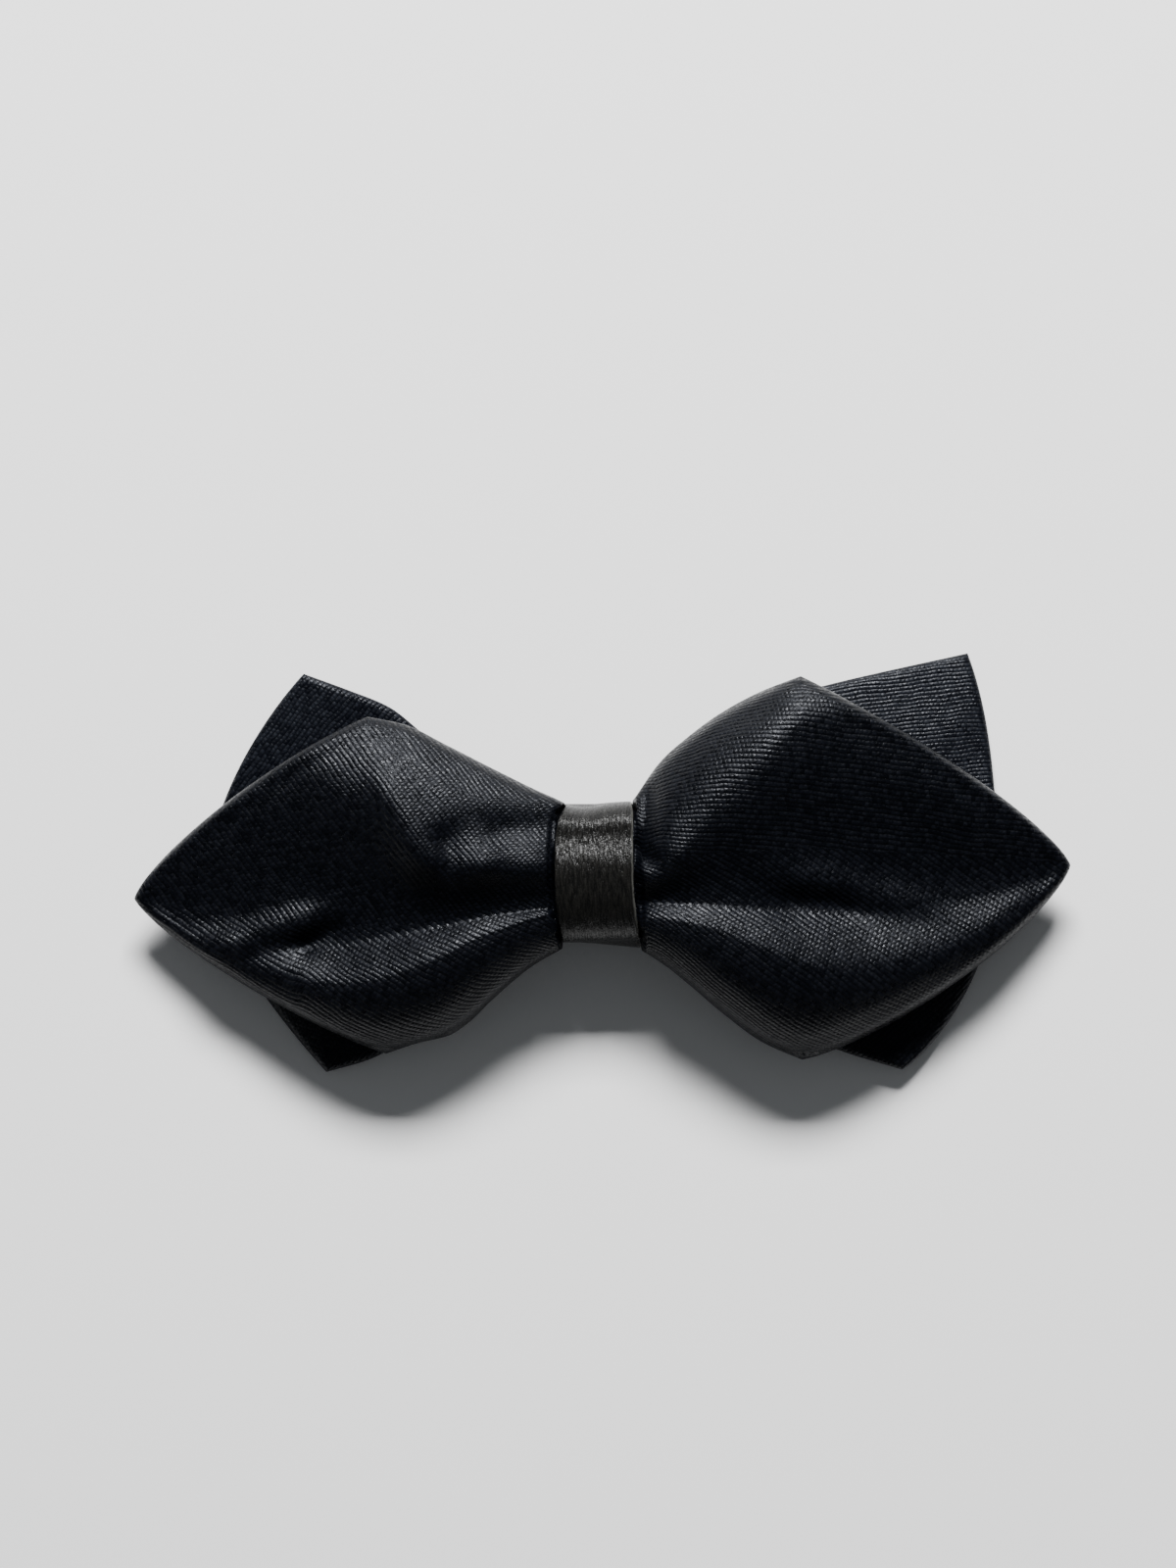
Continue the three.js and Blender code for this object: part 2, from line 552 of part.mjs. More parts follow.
// A closed sheet over a grid of stations from the left wing's outer edge to the right one's.
function sheet(left, right, steps, facesAt) {
  const perWing = steps.knot + steps.wing;
  const knotShare = steps.knot / perWing;
  const stations = 2 * perWing + 1;
  const across = steps.across + 1;
  const points = [];
  for (const side of [0, 1]) {
    for (let i = 0; i < stations; i++) {
      const isLeft = i < perWing;
      const wing = isLeft ? left : right;
      const u = Math.abs(i - perWing) / perWing;
      for (let j = 0; j < across; j++) {
        const v = (2 * j) / steps.across - 1;
        const [x, y] = wing.place(u, v, knotShare);
        points.push([isLeft ? -x : x, y, facesAt(wing, x, y)[side]]);
      }
    }
  }
  const at = (side, i, j) => (side * stations + i) * across + j;
  const faces = [];
  const quad = (a, b, c, d) => faces.push([a, b, c], [a, c, d]);
  for (let i = 0; i < stations - 1; i++) {
    for (let j = 0; j < across - 1; j++) {
      quad(at(1, i, j), at(1, i + 1, j), at(1, i + 1, j + 1), at(1, i, j + 1));
      quad(at(0, i, j), at(0, i, j + 1), at(0, i + 1, j + 1), at(0, i + 1, j));
    }
    quad(at(0, i, 0), at(0, i + 1, 0), at(1, i + 1, 0), at(1, i, 0));
    quad(at(0, i + 1, across - 1), at(0, i, across - 1), at(1, i, across - 1), at(1, i + 1, across - 1));
  }
  for (let j = 0; j < across - 1; j++) {
    quad(at(0, 0, j + 1), at(0, 0, j), at(1, 0, j), at(1, 0, j + 1));
    const end = stations - 1;
    quad(at(0, end, j), at(0, end, j + 1), at(1, end, j + 1), at(1, end, j));
  }
  return geometry(points, faces);
}

// A point of the band's section at an angle round it, from the middle of its right-hand turn upwards.
function bandSection(angle, halfHeight, halfDepth) {
  const [c, s] = [Math.cos(angle), Math.sin(angle)];
  const n = s > 0 ? BAND_FRONT_SQUARENESS : BAND_BACK_SQUARENESS;
  const y = Math.sign(c) * Math.abs(c) ** (2 / n) * halfHeight;
  const z = Math.sign(s) * Math.abs(s) ** (2 / n) * halfDepth;
  const behind = clamp((-2 * z) / BAND_DEPTH, 0, 1);
  return { y, z, behind };
}

// The leather loop: an outer and an inner wall round the X axis, with cut edges.
function bandGeometry() {
  const { round, across } = BAND_STEPS;
  const points = [];
  for (const wall of [0, BAND_WALL]) {
    for (let i = 0; i < round; i++) {
      const angle = (2 * Math.PI * i) / round;
      const outer = bandSection(angle, BAND_HEIGHT / 2, BAND_DEPTH / 2);
      const at = outer.y / (BAND_HEIGHT / 2);
      const front = smooth(outer.z / 2 + 0.5);
      const left = mix(1, column(BAND_EDGES, "at", "left", at), front) * bandEdge;
      const right = mix(1, column(BAND_EDGES, "at", "right", at), front) * bandEdge;
      const p = bandSection(angle, BAND_HEIGHT / 2 - wall, BAND_DEPTH / 2 - wall);
      for (let j = 0; j <= across; j++) {
        const x = mix(-left, right, j / across);
        points.push([x + p.behind * BAND_SIDESTEP, p.y - p.behind * BAND_SAG, bandMiddle + p.z]);
      }
    }
  }
  const at = (wall, i, j) => (wall * round + (i % round)) * (across + 1) + j;
  const faces = [];
  const quad = (a, b, c, d) => faces.push([a, b, c], [a, c, d]);
  for (let i = 0; i < round; i++) {
    for (let j = 0; j < across; j++) {
      quad(at(0, i, j), at(0, i + 1, j), at(0, i + 1, j + 1), at(0, i, j + 1));
      quad(at(1, i, j), at(1, i, j + 1), at(1, i + 1, j + 1), at(1, i + 1, j));
    }
    quad(at(0, i + 1, 0), at(0, i, 0), at(1, i, 0), at(1, i + 1, 0));
    quad(at(0, i, across), at(0, i + 1, across), at(1, i + 1, across), at(1, i, across));
  }
  return geometry(points, faces);
}

const wasm = await Module();
wasm.setup();

// A geometry as a solid. Its shared corners are merged by place.
function solidOf(shape) {
  const flat = shape.index ? shape.toNonIndexed() : shape;
  const xyz = flat.getAttribute("position");
  const known = new Map();
  const vertProperties = [];
  const triVerts = [];
  for (let i = 0; i < xyz.count; i++) {
    const p = [xyz.getX(i), xyz.getY(i), xyz.getZ(i)];
    const key = p.map((n) => Math.round(n * 1e4)).join();
    if (!known.has(key)) {
      known.set(key, known.size);
      vertProperties.push(...p);
    }
    triVerts.push(known.get(key));
  }
  return new wasm.Manifold(
    new wasm.Mesh({
      numProp: 3,
      vertProperties: new Float32Array(vertProperties),
      triVerts: new Uint32Array(triVerts),
    }),
  );
}

// A block that is centred on X and Y and stands on z = floor.
function block(length, width, floor, top) {
  const box = new THREE.BoxGeometry(length, width, top - floor);
  return solidOf(box.translate(0, 0, (floor + top) / 2));
}

// The clip: a plate with rounded ends, and a bridge over the back of the band.
function clipGeometry() {
  const plan = new THREE.Shape();
  const r = CLIP_CORNER;
  const [x, y] = [CLIP_LENGTH / 2 - r, CLIP_WIDTH / 2 - r];
  plan.absarc(x, y, r, 0, Math.PI / 2);
  plan.absarc(-x, y, r, Math.PI / 2, Math.PI);
  plan.absarc(-x, -y, r, Math.PI, 1.5 * Math.PI);
  plan.absarc(x, -y, r, 1.5 * Math.PI, 2 * Math.PI);
  const rolled = { depth: CLIP_PLATE, bevelEnabled: false, curveSegments: 6 };
  const plate = new THREE.ExtrudeGeometry(plan, rolled);
  const inside = 2 * (bandEdge + GAP + BAND_SIDESTEP);
  const arch = block(inside + 2 * CLIP_POST, CLIP_WIDTH, 0, bridgeTop);
  const slot = block(inside, 2 * CLIP_WIDTH, CLIP_PLATE, bridgeFloor);
  const cut = solidOf(plate).add(arch.subtract(slot)).getMesh();
  const made = new THREE.BufferGeometry();
  made.setAttribute("position", new THREE.BufferAttribute(cut.vertProperties, 3));
  made.setIndex(new THREE.BufferAttribute(cut.triVerts, 1));
  made.computeVertexNormals();
  return made;
}

const satin = new THREE.MeshStandardMaterial({ color: 0x0b0c12, roughness: 0.5, metalness: 0 });
const satinBack = new THREE.MeshStandardMaterial({ color: 0x101118, roughness: 0.55, metalness: 0 });
const leather = new THREE.MeshStandardMaterial({ color: 0x121212, roughness: 0.4, metalness: 0 });
const steel = new THREE.MeshStandardMaterial({ color: 0x9a9ca0, roughness: 0.35, metalness: 1 });

function piece(name, shape, material) {
  const mesh = new THREE.Mesh(shape, material);
  mesh.name = name;
  return mesh;
}

const bowTie = new THREE.Group();
bowTie.add(
  piece(
    "front_bow",
    sheet(frontLeft, frontRight, FRONT_STEPS, (wing, x, y) =>
      frontFaces(wing, wing === frontLeft ? backLeft : backRight, x, y),
    ),
    satin,
  ),
  piece("back_bow", sheet(backLeft, backRight, BACK_STEPS, backFaces), satinBack),
  piece("centre_band", bandGeometry(), leather),
  piece("collar_clip", clipGeometry(), steel),
);

export default bowTie;
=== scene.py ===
"""Looks of the diamond point bow tie: twill satin bows, a wrinkled leather band and a steel clip.

Shapes are worked out in millimetres from the same sizes and sections as the part's source, more
finely and with small folds, rolled rims and wrinkles, and written to Blender in metres.
"""
import math

import bpy
import numpy as np
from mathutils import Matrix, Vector


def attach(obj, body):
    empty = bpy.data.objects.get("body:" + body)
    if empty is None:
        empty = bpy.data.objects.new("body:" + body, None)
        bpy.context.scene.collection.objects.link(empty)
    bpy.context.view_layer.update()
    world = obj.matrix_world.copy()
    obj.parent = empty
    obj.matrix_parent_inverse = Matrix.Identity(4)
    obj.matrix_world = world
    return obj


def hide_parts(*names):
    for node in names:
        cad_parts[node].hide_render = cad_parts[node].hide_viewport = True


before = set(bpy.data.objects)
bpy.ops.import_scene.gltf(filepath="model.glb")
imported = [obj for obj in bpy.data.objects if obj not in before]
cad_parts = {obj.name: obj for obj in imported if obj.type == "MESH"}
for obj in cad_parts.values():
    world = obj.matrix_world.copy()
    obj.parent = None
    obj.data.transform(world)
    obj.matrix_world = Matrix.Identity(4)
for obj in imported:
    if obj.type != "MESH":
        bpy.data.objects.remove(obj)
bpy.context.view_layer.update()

MM = 0.001
SEED = 20

# ---- camera ----
# The photograph looks straight down on the bow, which is turned a little in its frame.
VIEW_TURN = math.radians(2.04)
VIEW_CENTRE = (-0.6, 11.3, 8.0)
VIEW_HEIGHT = 600.0
VIEW_TALL = 201.1
SENSOR = 36.0

# ---- leather band ----
# The gap between pieces, and the strip's sizes round the knot.
GAP = 0.3
BAND_WIDTH = 9.7
BAND_HEIGHT = 17.8
BAND_DEPTH = 13.6
BAND_WALL = 1.2
BAND_FRONT_SQUARENESS = 2.6
BAND_BACK_SQUARENESS = 6.0
BAND_ROUND = 0.28
# Behind the knot the strip sags and runs a little askew.
BAND_SAG = 2.0
BAND_SIDESTEP = 0.9
# Its head dips at one place across it, from where the head starts and over a length.
BAND_HEAD_DIP = 0.5
BAND_DIP_AT = -1
BAND_DIP_WIDTH = 2.6
BAND_HEAD = (4, 5)
# Its face is hollow at one height, with its own reach above and below and a share of it inside.
HOLLOW_AT = 4.4
HOLLOW_ABOVE = 2.2
HOLLOW_BELOW = 2.7
HOLLOW_DEPTH = 0.8
HOLLOW_INSIDE = 0.3
# Its cut edges wander by these waves of rise, rate and phase along the wrap.
BAND_EDGE_WAVES = ((0.04, 0.9, 0), (0.02, 2.3, 1))
# Rows of the band's mesh: round the knot, across its face and in each rounded corner.
BAND_AROUND = 220
BAND_ACROSS = 22
BAND_CORNER_ROWS = 6

# ---- clip, which carries the band ----
CLIP_PLATE = 0.9
CLIP_BRIDGE = 0.7

# ---- cloth ----
# Where the knot ends, where each sheet leaves the band, and the length over which it opens.
KNOT_EDGE = 4.85
OPEN_FRONT = 4.68
OPEN_BACK = 5.4
OPENING = 0.25
# How far the cloth follows the band's uneven edge, and how steeply it may rise out of the band.
EDGE_FOLLOW = 2.5
OPENING_RISE = 5.0
# Walls, heights and the drop of the tips.
FRONT_WALL = 1.5
FRONT_HEIGHT = 16.0
FRONT_TIP_DROP = 1.4
BACK_WALL = 1.4
# The knot's ceiling is the band's inside at this share of its half height.
CEILING_ACROSS = 0.55
# An upright wall is at most this many times thicker where the sheet is steep.
STEEPEST = 2.0
# The rounded rim, and the fuller turned edge beside it.
RIM = 0.95
BEAD = 0.12
BEAD_WIDTH = 0.7
# How far a flank is rolled over, and how far a wing's corners are rounded for its folds.
ROLL = 0.96
BODY_BLUR = 6.0
# The valley's side rises by a power, softened at its floor, and less so farther out.
CREASE = 1.5
VALLEY_SOFT = 0.2
CREASE_LOSS = 0.7
CREASE_FADE = (0.35, 0.3)
# The rise and width of a fold whose row says 1, how much of it fades at each end, and how fast.
FOLD_RISE = 1.2
FOLD_WIDTH = 2.0
FOLD_END = 0.25
FOLD_FADE = 0.3
# Past this share of its reach a back wing's heights are worked out for its width there.
BACK_SPAN = 0.9
# Where a sheet comes loose beside the knot, and the length over which it does.
FRONT_LOOSE = (6.0, 8.0)
BACK_LOOSE = (8.0, 10.0)
BEAD_LOOSE = (8.0, 6.0)
# Half the cloth's width, and the power by which its weave fans out of the knot.
CLOTH_HALF = 28.0
FAN = 0.4
# The length of one float of the satin.
FLOAT = 0.55
# The slant of the ribs above and below a wing's line of turn, in degrees.
FRONT_TWILL = {"left": (-58, -38), "right": (-8, -36)}
BACK_TWILL = {"left": (52, 52), "right": (0, 42)}
# Rows of a sheet's mesh: half the knot, one wing and across, and those that round the rim.
FRONT_STEPS = (12, 120, 150)
BACK_STEPS = (8, 70, 80)
RIM_ROWS = 5
TIP_RIM_SHARE = 0.022
EDGE_RIM_SHARE = 0.05
# The knot's share of the rows along, and the power by which they crowd beside it.
KNOT_SHARE = 0.12
CROWDING = 1.3
# How far the rows fan out across a wing, in degrees, at its ends and more in its middle.
SPREAD_ENDS = 25
SPREAD_MIDDLE = 40

# The band's half width on each side, in shares, from its foot (-1) to its head (1).
BAND_EDGES = {
    "at": (-1, -0.8, -0.5, 0, 0.5, 0.75, 1),
    "left": (0.94, 1, 1.06, 1.09, 1.035, 0.965, 0.74),
    "right": (1.12, 1.035, 1, 0.975, 1.01, 1.02, 1.025),
}

BAND_BACK = CLIP_PLATE + GAP
BRIDGE_FLOOR = BAND_BACK + BAND_WALL + 1.5 * GAP
BRIDGE_TOP = BRIDGE_FLOOR + CLIP_BRIDGE
BACK_SEAT = BRIDGE_TOP + 1.5 * GAP + BACK_WALL / 2
BAND_MIDDLE = BAND_BACK + BAND_DEPTH / 2
BAND_EDGE = BAND_WIDTH / 2
INNER_HALF_HEIGHT = BAND_HEIGHT / 2 - BAND_WALL
INNER_HALF_DEPTH = BAND_DEPTH / 2 - BAND_WALL
FRONT_KNOT = (INNER_HALF_HEIGHT - 2.5 * GAP, 0.0)
BACK_KNOT = (INNER_HALF_HEIGHT - 6 * GAP, -0.6 * BAND_SAG)


def clamp(value, low, high):
    return np.minimum(high, np.maximum(low, value))


def mix(a, b, share):
    return a + (b - a) * share


def smooth(share):
    s = clamp(share, 0, 1)
    return s * s * (3 - 2 * s)


def rising(x, reach):
    """0 before the reach's start, 1 past its length, and smooth between."""
    start, length = reach
    return smooth((x - start) / length)


def curve(xs, ys, x):
    """A smooth curve through the points (xs, ys) that never overshoots them."""
    xs, ys, x = np.asarray(xs, float), np.asarray(ys, float), np.asarray(x, float)
    rise = np.diff(ys) / np.diff(xs)
    slope = np.empty(len(xs))
    slope[0], slope[-1] = rise[0], rise[-1]
    before, after = rise[:-1], rise[1:]
    product = before * after
    total = np.where(before + after == 0, 1, before + after)
    slope[1:-1] = np.where(product <= 0, 0, 2 * product / total)
    x = clamp(x, xs[0], xs[-1])
    k = np.clip(np.searchsorted(xs, x, side="right") - 1, 0, len(xs) - 2)
    step = xs[k + 1] - xs[k]
    t = (x - xs[k]) / step
    return (
        (2 * t**3 - 3 * t**2 + 1) * ys[k]
        + (t**3 - 2 * t**2 + t) * step * slope[k]
        + (3 * t**2 - 2 * t**3) * ys[k + 1]
        + (t**3 - t**2) * step * slope[k + 1]
    )


def inner_height(across):
    """Height of the inside of the band's front, as a share of half its depth."""
    n = BAND_FRONT_SQUARENESS
    return (1 - np.abs(clamp(across, -0.99, 0.99)) ** n) ** (1 / n)


# The knot's own section: places as in a wing, heights from the knot's floor to its ceiling.
KNOT_PLACES = {"lowCrest": 0.8, "valley": 0.52, "topCrest": 0.5, "round": 0.6, "lowRound": 0.6}
KNOT_HEIGHTS = {"lowEdge": 0.45, "lowCrest": 0.9, "valley": 0.72, "topCrest": 0.98, "topEdge": 0.5}

# A wing's table. Its x runs from the knot to the tip, and 1 and -1 stand for its top and low side.
# corner: where the side's corner lies. arc: the powers of its curve from the corner to the tip.
# edge: its curve from the band to the corner, in shares of both ways. opens: where the cloth
# leaves the band. turn: how far from the middle line to the top edge, or to the low edge if it
# is below 0, the weave turns. places: how far from the middle line to the edge each crest and
# the valley run, and how much each flank is rolled. heights: in shares of FRONT_HEIGHT.
FRONT_RIGHT = {
    "reach": 61.1,
    "tipDrop": FRONT_TIP_DROP,
    "knot": FRONT_KNOT,
    "corner": {1: (27.0, 24.1), -1: (25.7, 25.2)},
    "arc": {1: (1.3, 1.02), -1: (1.3, 1.28)},
    "opens": OPEN_FRONT,
    "turn": 0.1,
    "edge": {
        1: ((0, 0.18, 0.3, 0.54, 0.78, 1), (0, 0.33, 0.48, 0.72, 0.89, 1)),
        -1: ((0, 0.17, 0.3, 0.53, 0.76, 1), (0.08, 0.21, 0.35, 0.62, 0.85, 1)),
    },
    "places": {
        "at": (0.1, 0.16, 0.24, 0.33, 0.444, 0.58, 0.78, 1),
        "lowCrest": (0.55, 0.48, 0.44, 0.46, 0.53, 0.62, 0.68, 0.6),
        "valley": (0.37, 0.305, 0.245, 0.22, 0.23, 0.26, 0.27, 0.25),
        "topCrest": (0, 0.14, 0.38, 0.54, 0.78, 0.92, 0.93, 0.9),
        "round": (0.8, 0.75, 0.8, 0.8, 0.3, 0, 0, 0),
        "lowRound": (0.8, 1, 1, 1, 0.9, 0.8, 0.6, 0.4),
    },
    "heights": {
        "at": (0.1, 0.16, 0.24, 0.33, 0.444, 0.58, 0.78, 1),
        "lowEdge": (0.5, 0.45, 0.4, 0.35, 0.3, 0.31, 0.33, 0.34),
        "lowCrest": (0.82, 0.88, 0.91, 0.92, 0.86, 0.73, 0.55, 0.35),
        "valley": (0.76, 0.81, 0.81, 0.77, 0.68, 0.58, 0.465, 0.36),
        "topCrest": (0.89, 0.97, 1, 1, 0.93, 0.82, 0.63, 0.37),
        "topEdge": (0.58, 0.58, 0.57, 0.58, 0.74, 0.79, 0.6, 0.36),
    },
    # A row for each fold: from along, from across, to along, to across, rise, width.
    "folds": (
        (0.13, 0.5, 0.105, 0.1, -1.2, 0.8),
        (0.04, 0.22, 0.13, 0.03, -1.1, 0.65),
        (0.38, -0.02, 0.72, -0.26, 0.5, 1),
        (0.36, -0.17, 0.56, -0.22, -0.6, 1),
    ),
}

FRONT_LEFT = {
    "reach": 59.5,
    "tipDrop": FRONT_TIP_DROP,
    "knot": FRONT_KNOT,
    "corner": {1: (28.4, 20.9), -1: (27.8, 22.5)},
    "arc": {1: (1.3, 1.12), -1: (1.25, 1.12)},
    "opens": OPEN_FRONT,
    "turn": -0.27,
    "edge": {
        1: ((0, 0.16, 0.37, 0.58, 0.8, 1), (0, 0.21, 0.44, 0.67, 0.9, 1)),
        -1: ((0, 0.17, 0.4, 0.53, 0.65, 0.82, 1), (0.05, 0.22, 0.53, 0.73, 0.85, 0.91, 1)),
    },
    "places": {
        "at": (0.1, 0.17, 0.26, 0.35, 0.47, 0.6, 0.78, 1),
        "lowCrest": (0.5, 0.47, 0.46, 0.51, 0.585, 0.68, 0.74, 0.65),
        "valley": (0.41, 0.35, 0.295, 0.29, 0.31, 0.4, 0.4, 0.3),
        "topCrest": (0.16, 0.13, 0.12, 0.2, 0.44, 0.72, 0.92, 0.9),
        "round": (0.8, 1, 1, 0.8, 0.3, 0, 0, 0),
        "lowRound": (0.8, 1, 1, 1, 0.9, 0.8, 0.6, 0.4),
    },
    "heights": {
        "at": (0.1, 0.17, 0.26, 0.35, 0.47, 0.6, 0.78, 1),
        "lowEdge": (0.5, 0.45, 0.4, 0.36, 0.33, 0.33, 0.31, 0.33),
        "lowCrest": (0.8, 0.84, 0.86, 0.87, 0.81, 0.69, 0.52, 0.34),
        "valley": (0.76, 0.785, 0.78, 0.74, 0.655, 0.56, 0.48, 0.35),
        "topCrest": (0.87, 0.92, 0.96, 0.97, 0.89, 0.78, 0.61, 0.36),
        "topEdge": (0.6, 0.6, 0.6, 0.62, 0.68, 0.74, 0.58, 0.35),
    },
    "folds": (
        (0.46, 0.65, 0.355, 0.08, 0.7, 1.1),
        (0.33, 0.29, 0.3, 0.04, -0.55, 0.8),
        (0.255, 0.32, 0.22, 0.03, 0.4, 0.9),
        (0.03, 0.29, 0.28, 0.27, -0.75, 1.15),
        (0.05, 0.03, 0.38, 0.1, 0.3, 0.8),
        (0.84, -0.36, 0.58, -0.18, 0.95, 1),
        (0.56, -0.24, 0.65, -0.4, -0.7, 0.9),
    ),
}

BACK_RIGHT = {
    "reach": 52.1,
    "tipDrop": 0.0,
    "knot": BACK_KNOT,
    "corner": {1: (49.2, 26.5), -1: (38.7, 27.1)},
    "arc": {1: (2.9, 1.02), -1: (1.9, 1.2)},
    "opens": OPEN_BACK,
    "turn": 0,
    "edge": {
        1: ((0, 0.15, 0.34, 0.5, 0.6, 1), (0, 0.24, 0.6, 0.75, 0.81, 1)),
        -1: ((0, 0.2, 0.45, 0.64, 0.81, 1), (0, 0.22, 0.57, 0.75, 0.88, 1)),
    },
    # Heights in shares of BACK_SEAT, on the middle line and at the two edges.
    "sections": {
        "at": (0, 0.25, 0.55, 0.8, 1),
        "middle": (1, 1.08, 0.98, 0.76, 0.5),
        "top": (0.97, 0.8, 0.62, 0.42, 0.19),
        "low": (0.97, 0.8, 0.62, 0.4, 0.2),
    },
}

BACK_LEFT = {
    "reach": 50.3,
    "tipDrop": 0.0,
    "knot": BACK_KNOT,
    "corner": {1: (36.7, 26.8), -1: (35.8, 24.8)},
    "arc": {1: (1.7, 1.05), -1: (1.4, 1.02)},
    "opens": OPEN_BACK,
    "turn": 0,
    "edge": {
        1: ((0, 0.25, 0.5, 0.66, 0.82, 1), (0, 0.19, 0.5, 0.74, 0.87, 1)),
        -1: ((0, 0.22, 0.42, 0.62, 0.82, 1), (0, 0.24, 0.56, 0.72, 0.91, 1)),
    },
    "sections": {
        "at": (0, 0.25, 0.55, 0.8, 1),
        "middle": (1, 1.08, 0.98, 0.9, 0.85),
        "top": (0.97, 0.97, 1.08, 1.1, 1),
        "low": (0.97, 0.8, 0.52, 0.3, 0.18),
    },
}

FRONT_FLOOR = BACK_SEAT + BACK_WALL / 2 + GAP + FRONT_WALL / 2
CEILING = BAND_MIDDLE + float(inner_height(CEILING_ACROSS)) * INNER_HALF_DEPTH
FRONT_CEILING = CEILING - GAP - FRONT_WALL / 2


def with_knot(wing):
    """Puts the knot's own section in front of a front wing's, heights in millimetres."""
    edge = KNOT_EDGE / wing["reach"]
    at = (0.0, edge) + tuple(wing["places"]["at"])
    places = {"at": at}
    for name, share in KNOT_PLACES.items():
        places[name] = (share, share) + tuple(wing["places"][name])
    heights = {"at": at}
    for name, share in KNOT_HEIGHTS.items():
        knot = mix(FRONT_FLOOR, FRONT_CEILING, share)
        heights[name] = (knot, knot) + tuple(FRONT_HEIGHT * h for h in wing["heights"][name])
    wing["places"], wing["heights"] = places, heights


with_knot(FRONT_RIGHT)
with_knot(FRONT_LEFT)


def middle_line(wing, x):
    """The line from the knot's middle to the tip."""
    return mix(wing["knot"][1], -wing["tipDrop"], rising(x, (KNOT_EDGE, wing["reach"])))


def free_edge(wing, x, sign):
    """The cloth's top (sign 1) or low (sign -1) edge at x, as if no band pinched it."""
    at, corner = wing["corner"][sign]
    point, shoulder = wing["arc"][sign]
    share = clamp((wing["reach"] - x) / (wing["reach"] - at), 0, 1) ** (1 / point)
    outer = mix(-wing["tipDrop"], sign * corner, 1 - (1 - share) ** shoulder)
    along, across = wing["edge"][sign]
    free = mix(BAND_HEIGHT / 2, corner, curve(along, across, (x - BAND_EDGE) / (at - BAND_EDGE)))
    return np.where(x >= at, outer, sign * free)


def edge_line(wing, x, sign):
    """The cloth's edge at x, pinched inside the band."""
    knot = sign * wing["knot"][0] + wing["knot"][1]
    return mix(knot, free_edge(wing, x, sign), rising(x, (wing["opens"], OPENING)))


def body_line(wing, x, sign):
    """The edge with its corner rounded off, which the folds follow."""
    reach = BODY_BLUR * np.linspace(-1, 1, 9)
    weights = 1 - np.abs(reach) / (1.2 * BODY_BLUR)
    total = sum(w * free_edge(wing, x + r, sign) for r, w in zip(reach, weights))
    return total / weights.sum()


def place(wing, u, v):
    """Places of the sheet at u along the wing and v across it, for arrays of one shape."""
    result_x, result_y = np.zeros_like(u), np.zeros_like(u)
    for sign in (1, -1):
        half = (v >= 0) if sign > 0 else (v < 0)
        uu, vv = u[half], np.abs(v[half])
        at = wing["corner"][sign][0]
        point, shoulder = wing["arc"][sign]
        knot_x = KNOT_EDGE * uu / KNOT_SHARE
        knot_y = mix(middle_line(wing, knot_x), edge_line(wing, knot_x, sign), vv)
        along = clamp((uu - KNOT_SHARE) / (1 - KNOT_SHARE), 0, 1) ** CROWDING
        spread = np.radians(SPREAD_ENDS + SPREAD_MIDDLE * 4 * along * (1 - along))
        share = clamp(np.sin(spread * vv) / np.sin(spread), 0, 1)
        x_middle = mix(KNOT_EDGE, wing["reach"], along)
        x_edge = mix(KNOT_EDGE, at, along)
        x = mix(x_middle, x_edge, share ** mix(2, point, along))
        y_share = 1 - (1 - share) ** mix(1, shoulder, along)
        y = mix(middle_line(wing, x_middle), edge_line(wing, x_edge, sign), y_share)
        in_knot = uu <= KNOT_SHARE
        result_x[half] = np.where(in_knot, knot_x, x)
        result_y[half] = np.where(in_knot, knot_y, y)
    return result_x, result_y


def ripple(x, y, waves):
    """A faint unevenness of the cloth from a few crossing waves."""
    total = np.zeros_like(x)
    for angle, length, phase, rise in waves:
        along = x * math.cos(angle) + y * math.sin(angle)
        total = total + rise * np.sin(2 * math.pi * along / length + phase)
    return total


def make_waves(seed, lengths, rise):
    """Waves of the given lengths in seeded directions, as angle, length, phase and rise."""
    rng = np.random.default_rng(seed)
    return [
        (rng.uniform(0, math.pi), length, rng.uniform(0, 2 * math.pi), rise * length / lengths[0])
        for length in lengths
    ]


FRONT_RIPPLE = make_waves(SEED, (9.0, 12.0, 17.0, 23.0), 0.035)
BACK_RIPPLE = make_waves(SEED + 1, (11.0, 16.0, 27.0), 0.06)


def back_height(wing, x, y):
    """Height of the middle of the back sheet before it is made uneven."""
    at = x / wing["reach"]
    low_side = y < middle_line(wing, x)
    inside = np.minimum(x, wing["reach"] * BACK_SPAN)
    half = np.abs(np.where(low_side, edge_line(wing, inside, -1), edge_line(wing, inside, 1)))
    table = wing["sections"]
    middle = curve(table["at"], table["middle"], at)
    top = curve(table["at"], table["top"], at)
    low = curve(table["at"], table["low"], at)
    edge = np.where(low_side, low, top)
    return BACK_SEAT * mix(middle, edge, np.minimum(1.2, np.abs(y) / half) ** 2)


def fold_rise(wing, fold, x, y):
    """The rise of one fold, a soft ridge or groove between two places."""
    from_along, from_across, to_along, to_across, rise, width = fold
    half = lambda across: across * (wing["corner"][-1][1] if across < 0 else wing["corner"][1][1])
    start = np.array([from_along * wing["reach"], half(from_across)])
    end = np.array([to_along * wing["reach"], half(to_across)])
    dx, dy = end - start
    length = math.hypot(dx, dy)
    along = ((x - start[0]) * dx + (y - start[1]) * dy) / length**2
    off = ((x - start[0]) * dy - (y - start[1]) * dx) / length
    past = np.maximum(0, np.maximum(along - (1 - FOLD_END), FOLD_END - along)) * length
    wide = width * FOLD_WIDTH
    fade = np.exp(-((off / wide) ** 2)) * np.exp(-((past / (FOLD_FADE * length)) ** 2))
    return rise * FOLD_RISE * fade


